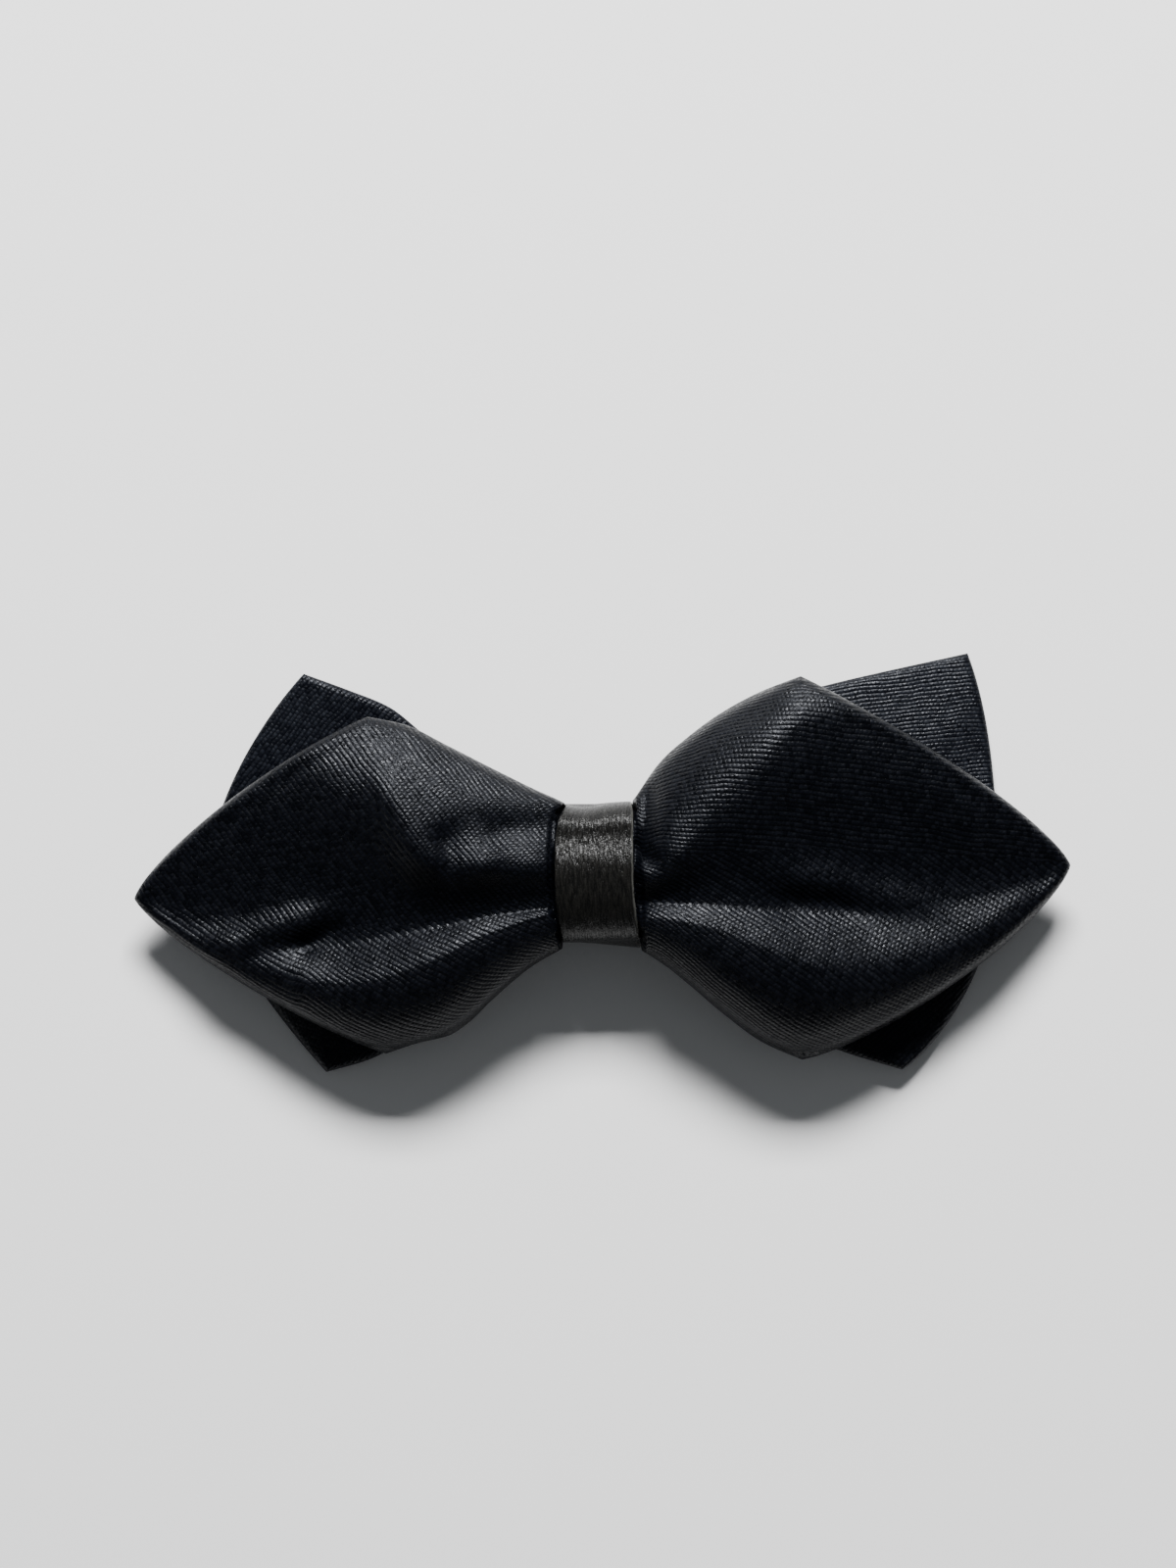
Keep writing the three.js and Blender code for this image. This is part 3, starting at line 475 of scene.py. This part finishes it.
def front_height(wing, x, y):
    """Height of the middle of the front sheet: two crests, a valley between them and the folds."""
    at = x / wing["reach"]
    read_place = lambda name: curve(wing["places"]["at"], wing["places"][name], at)
    read_height = lambda name: curve(wing["heights"]["at"], wing["heights"][name], at)
    middle = middle_line(wing, x)
    top, low = body_line(wing, x, 1), body_line(wing, x, -1)
    top_crest = mix(middle, top, read_place("topCrest"))
    valley = mix(middle, low, read_place("valley"))
    low_crest = mix(middle, low, read_place("lowCrest"))

    def flank(crest, edge, start, end, round_share):
        span = np.where(np.abs(edge - crest) < 1e-6, 1, edge - crest)
        t = clamp((y - crest) / span, 0, 1.2)
        rolled = (1 - np.sqrt(1 - (ROLL * np.minimum(t, 1)) ** 2)) / (1 - math.sqrt(1 - ROLL**2))
        return mix(start, end, mix(t * t, rolled, round_share))

    def slope(crest, height, crease):
        span = np.where(np.abs(crest - valley) < 1e-6, 1, crest - valley)
        share = clamp((y - valley) / span, 0, 1)
        eased = share**2 * (1 + VALLEY_SOFT) / (share + VALLEY_SOFT)
        risen = mix(smooth(share), 1 - (1 - eased) ** CREASE, crease)
        return mix(read_height("valley"), height, risen)

    top_height, low_height = read_height("topCrest"), read_height("lowCrest")
    creased = 1 - CREASE_LOSS * rising(at, CREASE_FADE)
    top_flank = flank(top_crest, top, top_height, read_height("topEdge"), read_place("round"))
    low_flank = flank(low_crest, low, low_height, read_height("lowEdge"), read_place("lowRound"))
    inner = np.where(
        y > valley, slope(top_crest, top_height, 0), slope(low_crest, low_height, creased)
    )
    z = np.where(y >= top_crest, top_flank, np.where(y <= low_crest, low_flank, inner))
    clear = rising(x, (KNOT_EDGE, OPENING))
    for fold in wing["folds"]:
        z = z + clear * fold_rise(wing, fold, x, y)
    return z


def wall_upright(wing, x, y, wall):
    """The front bow's upright thickness, more where it is steep."""
    px, py = mix(x, wing["reach"] / 2, 0.02), mix(y, 0, 0.02)
    step = 0.1
    slope_x = (front_height(wing, px + step, py) - front_height(wing, px - step, py)) / (2 * step)
    slope_y = (front_height(wing, px, py + step) - front_height(wing, px, py - step)) / (2 * step)
    return wall * np.minimum(STEEPEST, np.sqrt(1 + slope_x**2 + slope_y**2))


def back_middle(wing, x, y, side):
    """Height of the back sheet's middle, and half its wall."""
    uneven = rising(x, BACK_LOOSE) * ripple(side * x, y, BACK_RIPPLE)
    return back_height(wing, x, y) + uneven, np.full_like(x, BACK_WALL / 2)


def front_middle(wing, x, y, side):
    """Height of the front sheet's middle, on the back bow and under the band, and half its wall."""
    back_wing = BACK_LEFT if side < 0 else BACK_RIGHT
    wall = wall_upright(wing, x, y, FRONT_WALL)
    seat = back_height(back_wing, x, y) + BACK_WALL / 2 + GAP + wall / 2
    uneven = rising(x, FRONT_LOOSE) * ripple(side * x, y, FRONT_RIPPLE)
    z = np.maximum(front_height(wing, x, y) + uneven, seat)
    inside = BAND_MIDDLE + inner_height(y / INNER_HALF_HEIGHT) * INNER_HALF_DEPTH - GAP
    roof = inside + OPENING_RISE * np.maximum(0, x - KNOT_EDGE)
    top = np.minimum(z + wall / 2, roof)
    low = np.minimum(z - wall / 2, top - FRONT_WALL)
    return (top + low) / 2, (top - low) / 2


def cloth_width_coordinate(wing, middle_at, x, y):
    """How far across the cloth a point lies: the length over the folds, fanned out of the knot."""
    samples = 10
    result = np.zeros_like(x)
    for sign in (1, -1):
        at = wing["corner"][sign][0]
        base = middle_line(wing, x)
        inner = clamp(x, 8, at)
        full_base, full_edge = middle_line(wing, inner), edge_line(wing, inner, sign)

        def length(x_at, start, end):
            total = np.zeros_like(x_at)
            last_y, last_z = start, middle_at(x_at, start)
            for k in range(1, samples + 1):
                y_k = mix(start, end, k / samples)
                z_k = middle_at(x_at, y_k)
                total = total + np.hypot(y_k - last_y, z_k - last_z)
                last_y, last_z = y_k, z_k
            return total

        part = (y >= base) if sign > 0 else (y < base)
        arc = length(x[part], base[part], y[part])
        whole = length(inner[part], full_base[part], full_edge[part])
        result[part] = sign * arc * (CLOTH_HALF / whole) ** FAN
    return result


def edge_distance(points, outline):
    """Distance of each point from the outline, a closed ring of points."""
    a = outline
    b = np.roll(outline, -1, axis=0)
    ab = b - a
    squared = np.maximum((ab**2).sum(1), 1e-12)
    nearest = np.full(len(points), 1e9)
    for start in range(0, len(points), 2000):
        p = points[start : start + 2000]
        t = ((p[:, None] - a[None]) * ab[None]).sum(2) / squared
        t = np.clip(t, 0, 1)
        gap = p[:, None] - (a[None] + t[..., None] * ab[None])
        nearest[start : start + 2000] = np.sqrt((gap**2).sum(2).min(1))
    return nearest


def bead(distance):
    """The turned edge: a little fuller at the rim and pressed in beside it."""
    full = np.exp(-(((distance - RIM) / BEAD_WIDTH) ** 2))
    pressed = np.exp(-(((distance - RIM - 2 * BEAD_WIDTH) / BEAD_WIDTH) ** 2))
    return full - 0.5 * pressed


def spaced(count, rim_share):
    """Stations from 0 to 1 with extra rows that round the rim at 1."""
    inner = np.linspace(0, 1 - rim_share, count)
    angles = np.linspace(0, math.pi / 2, RIM_ROWS + 1)[1:]
    return np.concatenate([inner, 1 - rim_share * (1 - np.sin(angles))])


def hand(side):
    return "left" if side < 0 else "right"


def beside_band(x, y, side):
    """Where the cloth lies once it follows the band's uneven edge."""
    edge = curve(BAND_EDGES["at"], BAND_EDGES[hand(side)], y / (BAND_HEIGHT / 2))
    return x + (edge - 1) * BAND_EDGE * np.exp(-(((x - BAND_EDGE) / EDGE_FOLLOW) ** 2))


def weave_turn(wing, x):
    """The line below which the gathered cloth's weave runs in another direction."""
    share = wing["turn"]
    return mix(middle_line(wing, x), body_line(wing, x, 1 if share > 0 else -1), abs(share))


def sheet_mesh(left, right, steps, middle_of, shifted, twill, bead_rise):
    """Vertices, faces and cloth coordinates of a closed sheet with a rounded rim."""
    knot_steps, wing_steps, across_steps = steps
    knot_u = np.linspace(0, KNOT_SHARE, knot_steps, endpoint=False)
    wing_u = mix(KNOT_SHARE, 1, spaced(wing_steps, TIP_RIM_SHARE))
    u_side = np.concatenate([knot_u, wing_u])
    v_half = spaced(across_steps // 2, EDGE_RIM_SHARE)
    v_all = np.concatenate([-v_half[:0:-1], v_half])
    grids = []
    for wing, side, us in ((left, -1, u_side[:0:-1]), (right, 1, u_side)):
        u, v = np.meshgrid(us, v_all, indexing="ij")
        x, y = place(wing, u.ravel(), v.ravel())
        z, half = middle_of(wing, x, y, side)
        middle_at = lambda px, py, w=wing, s=side: middle_of(w, px, py, s)[0]
        across = cloth_width_coordinate(wing, middle_at, x, y)
        upper, low = np.radians(twill[hand(side)])
        angle = np.where(y < weave_turn(wing, x), low, upper)
        values = (side * shifted(x, y, side), y, z, half, across, side * x, angle)
        grids.append(np.stack(values, 1).reshape(*u.shape, len(values)))
    grid = np.concatenate(grids)
    rows, columns = grid.shape[:2]
    ring = np.concatenate(
        [grid[:, 0, :2], grid[-1, 1:, :2], grid[-2::-1, -1, :2], grid[0, -2:0:-1, :2]]
    )
    flat = grid.reshape(rows * columns, -1)
    distance = edge_distance(flat[:, :2], ring)
    inset = np.minimum(distance, RIM) / RIM
    swell = np.sqrt(np.maximum(0, 1 - (1 - inset) ** 2))
    border = np.zeros((rows, columns), bool)
    border[0], border[-1], border[:, 0], border[:, -1] = True, True, True, True
    swell = np.where(border.ravel(), 0, swell)
    free = rising(np.abs(flat[:, 0]), BEAD_LOOSE)
    half = flat[:, 3] * swell + bead_rise * bead(distance) * swell * free
    top = np.stack([flat[:, 0], flat[:, 1], flat[:, 2] + half], 1)
    low = np.stack([flat[:, 0], flat[:, 1], flat[:, 2] - flat[:, 3] * swell], 1)
    low_index = np.cumsum(~border.ravel()) - 1 + len(top)
    low_index = np.where(border.ravel(), np.arange(len(top)), low_index)
    points = np.concatenate([top, low[~border.ravel()]])
    i, j = np.meshgrid(np.arange(rows - 1), np.arange(columns - 1), indexing="ij")
    a = (i * columns + j).ravel()
    quads = np.stack([a, a + columns, a + columns + 1, a + 1], 1)
    faces = np.concatenate([quads, low_index[quads][:, ::-1]])
    across, along, angle = flat[quads, 4], flat[quads, 5], flat[quads[:, :1], 6]
    cos, sin = np.cos(angle), np.sin(angle)
    cloth = np.stack([across * cos - along * sin, along * cos + across * sin], 2)
    return points, faces, np.concatenate([cloth, cloth[:, ::-1]])


def make_object(name, points, faces, coordinates=None):
    """A smooth mesh; its material coordinates are given for each face's corners."""
    mesh = bpy.data.meshes.new(name)
    mesh.from_pydata((np.asarray(points) * MM).tolist(), [], np.asarray(faces).tolist())
    if coordinates is not None:
        layer = mesh.uv_layers.new(name="cloth")
        layer.data.foreach_set("uv", np.asarray(coordinates, np.float32).ravel())
    mesh.polygons.foreach_set("use_smooth", np.ones(len(mesh.polygons), bool))
    mesh.update()
    piece = bpy.data.objects.new(name, mesh)
    bpy.context.scene.collection.objects.link(piece)
    return piece


# ---- materials ----
class Nodes:
    """A short way to write a material's nodes."""

    def __init__(self, name):
        self.material = bpy.data.materials.new(name)
        self.material.use_nodes = True
        self.tree = self.material.node_tree
        self.tree.nodes.clear()
        self.output = self.tree.nodes.new("ShaderNodeOutputMaterial")
        self.shader = self.tree.nodes.new("ShaderNodeBsdfPrincipled")
        self.tree.links.new(self.shader.outputs[0], self.output.inputs["Surface"])

    def link(self, value, socket):
        if isinstance(value, bpy.types.NodeSocket):
            self.tree.links.new(value, socket)
        elif value is not None:
            socket.default_value = value

    def math(self, kind, a, b=None, c=None):
        node = self.tree.nodes.new("ShaderNodeMath")
        node.operation = kind
        for value, socket in zip((a, b, c), node.inputs):
            self.link(value, socket)
        return node.outputs[0]

    def add(self, kind, **values):
        node = self.tree.nodes.new(kind)
        for key, value in values.items():
            if key in node.inputs:
                self.link(value, node.inputs[key])
            else:
                setattr(node, key, value)
        return node

    def ramp(self, value, low, high, to_low=0.0, to_high=1.0):
        node = self.add("ShaderNodeMapRange")
        for socket, item in zip(node.inputs, (value, low, high, to_low, to_high)):
            self.link(item, socket)
        return node.outputs[0]

    def blend(self, share, a, b):
        node = self.add("ShaderNodeMix", data_type="RGBA")
        self.link(share, node.inputs["Factor"])
        self.link(a, node.inputs[6])
        self.link(b, node.inputs[7])
        return node.outputs[2]

    def bump(self, height, distance, strength=1.0):
        node = self.add("ShaderNodeBump")
        node.inputs["Strength"].default_value = strength
        node.inputs["Distance"].default_value = distance
        self.link(height, node.inputs["Height"])
        return node.outputs[0]

    def stretched(self, vector, scale):
        node = self.add("ShaderNodeVectorMath", operation="MULTIPLY")
        self.link(vector, node.inputs[0])
        node.inputs[1].default_value = scale
        return node.outputs[0]

    def noise(self, vector, **values):
        node = self.add("ShaderNodeTexNoise", **values)
        self.link(vector, node.inputs["Vector"])
        return node.outputs[0]


def satin(name, rib_pitch, dark, light):
    """Twill satin: slanted ribs of short silky floats over the cloth's own coordinates, in mm, with
    a sheen painted on the ribs.
    """
    n = Nodes(name)
    uv = n.add("ShaderNodeUVMap", uv_map="cloth").outputs[0]
    split = n.add("ShaderNodeSeparateXYZ")
    n.link(uv, split.inputs[0])
    across, along = split.outputs[0], split.outputs[1]
    # The ribs, numbered across the cloth, wander a little.
    wander = n.noise(uv, noise_dimensions="2D", Scale=0.16, Detail=2.0)
    wobble = n.math("MULTIPLY", n.math("SUBTRACT", wander, 0.5), 0.8)
    position = n.math("DIVIDE", n.math("ADD", across, wobble), rib_pitch)
    rib_number = n.math("FLOOR", position)
    rib = n.math("SINE", n.math("MULTIPLY", n.math("FRACT", position), math.pi))
    # Each rib is a row of floats, shifted from the last rib's, and each float gets a random tone of
    # its own.
    step = n.math("ADD", n.math("DIVIDE", along, FLOAT), n.math("MULTIPLY", rib_number, 0.37))
    float_number = n.math("FLOOR", step)
    float_swell = n.math("SINE", n.math("MULTIPLY", n.math("FRACT", step), math.pi))
    cell = n.add("ShaderNodeCombineXYZ")
    n.link(rib_number, cell.inputs[0])
    n.link(float_number, cell.inputs[1])
    chance = n.add("ShaderNodeTexWhiteNoise", noise_dimensions="2D")
    n.link(cell.outputs[0], chance.inputs["Vector"])
    chance = chance.outputs[0]
    fibre = n.noise(
        n.stretched(uv, (3.4, 2.6, 1.0)), noise_dimensions="2D", Scale=1.0, Detail=2.0
    )
    thread = n.math("MULTIPLY", rib, n.math("ADD", 0.55, n.math("MULTIPLY", float_swell, 0.45)))
    height = n.math("ADD", thread, n.math("MULTIPLY", fibre, 0.9))
    height = n.math("ADD", height, n.math("MULTIPLY", chance, 0.5))
    # Painted sheen: the base colour is lighter on rib crests and float swells, scaled by each
    # float's random tone.
    colour = n.blend(n.math("MULTIPLY", thread, chance), (*dark, 1), (*light, 1))
    glint = n.ramp(fibre, 0.3, 0.7, -0.08, 0.1)
    rough = n.math("ADD", n.ramp(chance, 0.0, 1.0, 0.29, 0.44), glint)
    n.link(colour, n.shader.inputs["Base Color"])
    n.link(rough, n.shader.inputs["Roughness"])
    n.link(n.bump(height, 0.06 * MM), n.shader.inputs["Normal"])
    n.shader.inputs["Specular IOR Level"].default_value = 0.125
    n.shader.inputs["Specular Tint"].default_value = (0.9, 0.93, 1, 1)
    return n.material


def leather(name):
    """Black leather, finely wrinkled along its wrap, with paler cut edges."""
    n = Nodes(name)
    uv = n.add("ShaderNodeUVMap", uv_map="cloth").outputs[0]
    wrinkle = n.noise(
        n.stretched(uv, (3.6, 0.5, 1.0)),
        noise_dimensions="2D", Scale=1.0, Detail=3.0, Roughness=0.5, Distortion=0.4,
    )
    hair = n.noise(
        n.stretched(uv, (7.0, 1.6, 1.0)),
        noise_dimensions="2D", Scale=1.0, Detail=3.0, Distortion=0.4,
    )
    grain = n.add("ShaderNodeTexVoronoi", voronoi_dimensions="2D", Scale=4.5)
    n.link(uv, grain.inputs["Vector"])
    height = n.math("ADD", wrinkle, n.math("MULTIPLY", hair, 0.25))
    height = n.math("ADD", height, n.math("MULTIPLY", grain.outputs["Distance"], 0.06))
    dark, light, cut = (0.002, 0.002, 0.0019, 1), (0.007, 0.0067, 0.006, 1), (0.06, 0.06, 0.055, 1)
    colour = n.blend(n.ramp(height, 0.5, 0.85), dark, light)
    split = n.add("ShaderNodeSeparateXYZ")
    n.link(uv, split.inputs[0])
    cut_edge = n.ramp(split.outputs[0], BAND_EDGE - 0.3, BAND_EDGE - 0.05)
    n.link(n.blend(cut_edge, colour, cut), n.shader.inputs["Base Color"])
    n.link(n.ramp(hair, 0.3, 0.7, 0.22, 0.36), n.shader.inputs["Roughness"])
    n.link(n.bump(height, 0.24 * MM), n.shader.inputs["Normal"])
    n.shader.inputs["Specular IOR Level"].default_value = 0.23
    return n.material


def steel(name):
    """Bright spring steel with faint drawing marks."""
    n = Nodes(name)
    place_at = n.add("ShaderNodeTexCoord").outputs["Object"]
    marks = n.noise(n.stretched(place_at, (90.0, 5200.0, 5200.0)), Scale=1.0, Detail=4.0)
    blotch = n.noise(place_at, Scale=160.0, Detail=3.0)
    bright, dull = (0.62, 0.63, 0.64, 1), (0.5, 0.5, 0.51, 1)
    n.link(n.blend(n.ramp(blotch, 0.35, 0.7), bright, dull), n.shader.inputs["Base Color"])
    n.link(n.ramp(marks, 0.3, 0.7, 0.2, 0.38), n.shader.inputs["Roughness"])
    n.link(n.bump(marks, 0.01 * MM, 0.5), n.shader.inputs["Normal"])
    n.shader.inputs["Metallic"].default_value = 1.0
    return n.material


# ---- pieces ----
def front_bow():
    points, faces, cloth = sheet_mesh(
        FRONT_LEFT, FRONT_RIGHT, FRONT_STEPS, front_middle, beside_band, FRONT_TWILL, BEAD
    )
    piece = make_object("front_bow_cloth", points, faces, cloth)
    # The light colour is the painted sheen on the rib crests; the dark colour is the cloth between
    # them.
    dark, light = (0.0007, 0.0009, 0.0016), (0.0028, 0.0034, 0.0056)
    piece.data.materials.append(satin("front_satin", 0.68, dark, light))
    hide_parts("front_bow")
    return piece


def back_bow():
    points, faces, cloth = sheet_mesh(
        BACK_LEFT, BACK_RIGHT, BACK_STEPS, back_middle, lambda x, y, side: x, BACK_TWILL, 0
    )
    piece = make_object("back_bow_cloth", points, faces, cloth)
    # The light colour is the painted sheen on the rib crests; the dark colour is the cloth between
    # them.
    dark, light = (0.0014, 0.0017, 0.003), (0.0065, 0.0078, 0.0115)
    piece.data.materials.append(satin("back_satin", 0.54, dark, light))
    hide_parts("back_bow")
    return piece


def band_section(angle, half_height, half_depth):
    """The loop's section along y and z: a rounded box, rounder in front than behind."""
    c, s = np.cos(angle), np.sin(angle)
    n = np.where(s > 0, BAND_FRONT_SQUARENESS, BAND_BACK_SQUARENESS)
    y = np.sign(c) * np.abs(c) ** (2 / n) * half_height
    z = np.sign(s) * np.abs(s) ** (2 / n) * half_depth
    return y, z


def even_angles(count):
    """Angles that cut the band's outer section into equal lengths."""
    fine = np.linspace(0, 2 * math.pi, 4001)
    y, z = band_section(fine, BAND_HEIGHT / 2, BAND_DEPTH / 2)
    arc = np.concatenate([[0], np.cumsum(np.hypot(np.diff(y), np.diff(z)))])
    stops = np.linspace(0, arc[-1], count, endpoint=False)
    return np.interp(stops, arc, fine), stops


def strip_ring(left, right, wall):
    """The strip's section as a ring: mm across it, and depth in its wall from 0 outside to 1."""
    r = BAND_ROUND
    angles = np.radians(np.linspace(0, 90, BAND_CORNER_ROWS))
    corner = [(r - r * math.cos(k), (r - r * math.sin(k)) / wall) for k in angles]
    face = np.linspace(0, 1, BAND_ACROSS)[1:-1]
    outer = [(a - left, d) for a, d in corner]
    outer += [(mix(r - left, right - r, share), 0.0) for share in face]
    outer += [(right - a, d) for a, d in corner[::-1]]
    return outer + [(x, 1 - d) for x, d in outer[::-1]]


def centre_band():
    """The leather loop: a rounded strip round the knot, hollow in front and sagging behind."""
    around = BAND_AROUND
    angles, arc = even_angles(around)
    points, coordinates = [], []
    for angle, length in zip(angles, arc):
        y_out, z_out = band_section(angle, BAND_HEIGHT / 2, BAND_DEPTH / 2)
        y_in, z_in = band_section(angle, BAND_HEIGHT / 2 - BAND_WALL, BAND_DEPTH / 2 - BAND_WALL)
        if z_out > 0:
            wide = HOLLOW_ABOVE if y_out > HOLLOW_AT else HOLLOW_BELOW
            hollow = HOLLOW_DEPTH * math.exp(-(((y_out - HOLLOW_AT) / wide) ** 2))
            z_out, z_in = z_out - hollow, z_in - HOLLOW_INSIDE * hollow
        at = y_out / (BAND_HEIGHT / 2)
        front = smooth(z_out / 2 + 0.5)
        wavy = sum(rise * math.sin(length * rate + phase) for rise, rate, phase in BAND_EDGE_WAVES)
        edges = [curve(BAND_EDGES["at"], BAND_EDGES[name], at) for name in ("left", "right")]
        left, right = (mix(1, edge, front) * BAND_EDGE for edge in edges)
        left, right = left + wavy, right - wavy
        wall = math.hypot(y_out - y_in, z_out - z_in)
        for x, d in strip_ring(left, right, wall):
            y, z = mix(y_out, y_in, d), mix(z_out, z_in, d)
            behind = clamp(-2 * z / BAND_DEPTH, 0, 1)
            sag = BAND_SAG * (0.5 + 0.5 * x / BAND_EDGE)
            head = rising(y, BAND_HEAD) * smooth(z / 3 + 0.5)
            dip = BAND_HEAD_DIP * math.exp(-(((x - BAND_DIP_AT) / BAND_DIP_WIDTH) ** 2)) * head
            points.append((x + behind * BAND_SIDESTEP, y - behind * sag - dip, BAND_MIDDLE + z))
            coordinates.append((x * BAND_EDGE / (right if x > 0 else left), length))
    per = len(points) // around
    i, j = np.meshgrid(np.arange(around), np.arange(per), indexing="ij")
    a = i * per + j
    b = ((i + 1) % around) * per + j
    c = ((i + 1) % around) * per + (j + 1) % per
    d = i * per + (j + 1) % per
    faces = np.stack([a.ravel(), b.ravel(), c.ravel(), d.ravel()], 1)
    piece = make_object("centre_band_leather", points, faces, np.array(coordinates)[faces])
    piece.data.materials.append(leather("band_leather"))
    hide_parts("centre_band")
    return piece


def set_clip_finish():
    """The clip keeps the form of the part's own node."""
    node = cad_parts["collar_clip"]
    metal = steel("clip_steel")
    if not node.material_slots:
        node.data.materials.append(metal)
    for holder in node.material_slots:
        holder.material = metal


for piece in (front_bow(), back_bow(), centre_band()):
    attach(piece, "root")
set_clip_finish()


# ---- stage, light and camera, in metres ----
FLOOR_HALF = 3.0
FLOOR_GREY = 0.88
SKY_COLOUR = (0.92, 0.96, 1.0)
SKY_STRENGTH = 0.12
KEY_AT = (0.04, 0.78, 0.62)
KEY_AIM = (0, 0, 0.01)
KEY_SIZE = (0.45, 0.2)
KEY_POWER = 35.0


def plain(name, grey, roughness):
    n = Nodes(name)
    n.shader.inputs["Base Color"].default_value = (grey, grey, grey, 1)
    n.shader.inputs["Roughness"].default_value = roughness
    return n.material


def floor():
    size = FLOOR_HALF
    corners = [(-size, -size, 0), (size, -size, 0), (size, size, 0), (-size, size, 0)]
    mesh = bpy.data.meshes.new("floor")
    mesh.from_pydata(corners, [], [(0, 1, 2, 3)])
    sheet = bpy.data.objects.new("floor", mesh)
    bpy.context.scene.collection.objects.link(sheet)
    mesh.materials.append(plain("floor_paper", FLOOR_GREY, 0.9))


def softbox(name, where, aim, size, power):
    light = bpy.data.lights.new(name, "AREA")
    light.shape = "RECTANGLE"
    light.size, light.size_y = size
    light.energy = power
    lamp = bpy.data.objects.new(name, light)
    lamp.location = where
    lamp.rotation_mode = "QUATERNION"
    lamp.rotation_quaternion = (Vector(where) - Vector(aim)).to_track_quat("Z", "Y")
    bpy.context.scene.collection.objects.link(lamp)


def daylight(colour, strength):
    world = bpy.data.worlds.new("studio")
    world.use_nodes = True
    back = world.node_tree.nodes["Background"]
    back.inputs[0].default_value = (*colour, 1)
    back.inputs[1].default_value = strength
    bpy.context.scene.world = world


def camera():
    data = bpy.data.cameras.new("camera")
    data.sensor_width = SENSOR
    data.lens = SENSOR * VIEW_HEIGHT / VIEW_TALL
    eye = bpy.data.objects.new("camera", data)
    eye.location = Vector((VIEW_CENTRE[0], VIEW_CENTRE[1], VIEW_CENTRE[2] + VIEW_HEIGHT)) * MM
    eye.rotation_euler = (0, 0, -VIEW_TURN)
    bpy.context.scene.collection.objects.link(eye)
    bpy.context.scene.camera = eye


floor()
daylight(SKY_COLOUR, SKY_STRENGTH)
softbox("key", KEY_AT, KEY_AIM, KEY_SIZE, KEY_POWER)
camera()
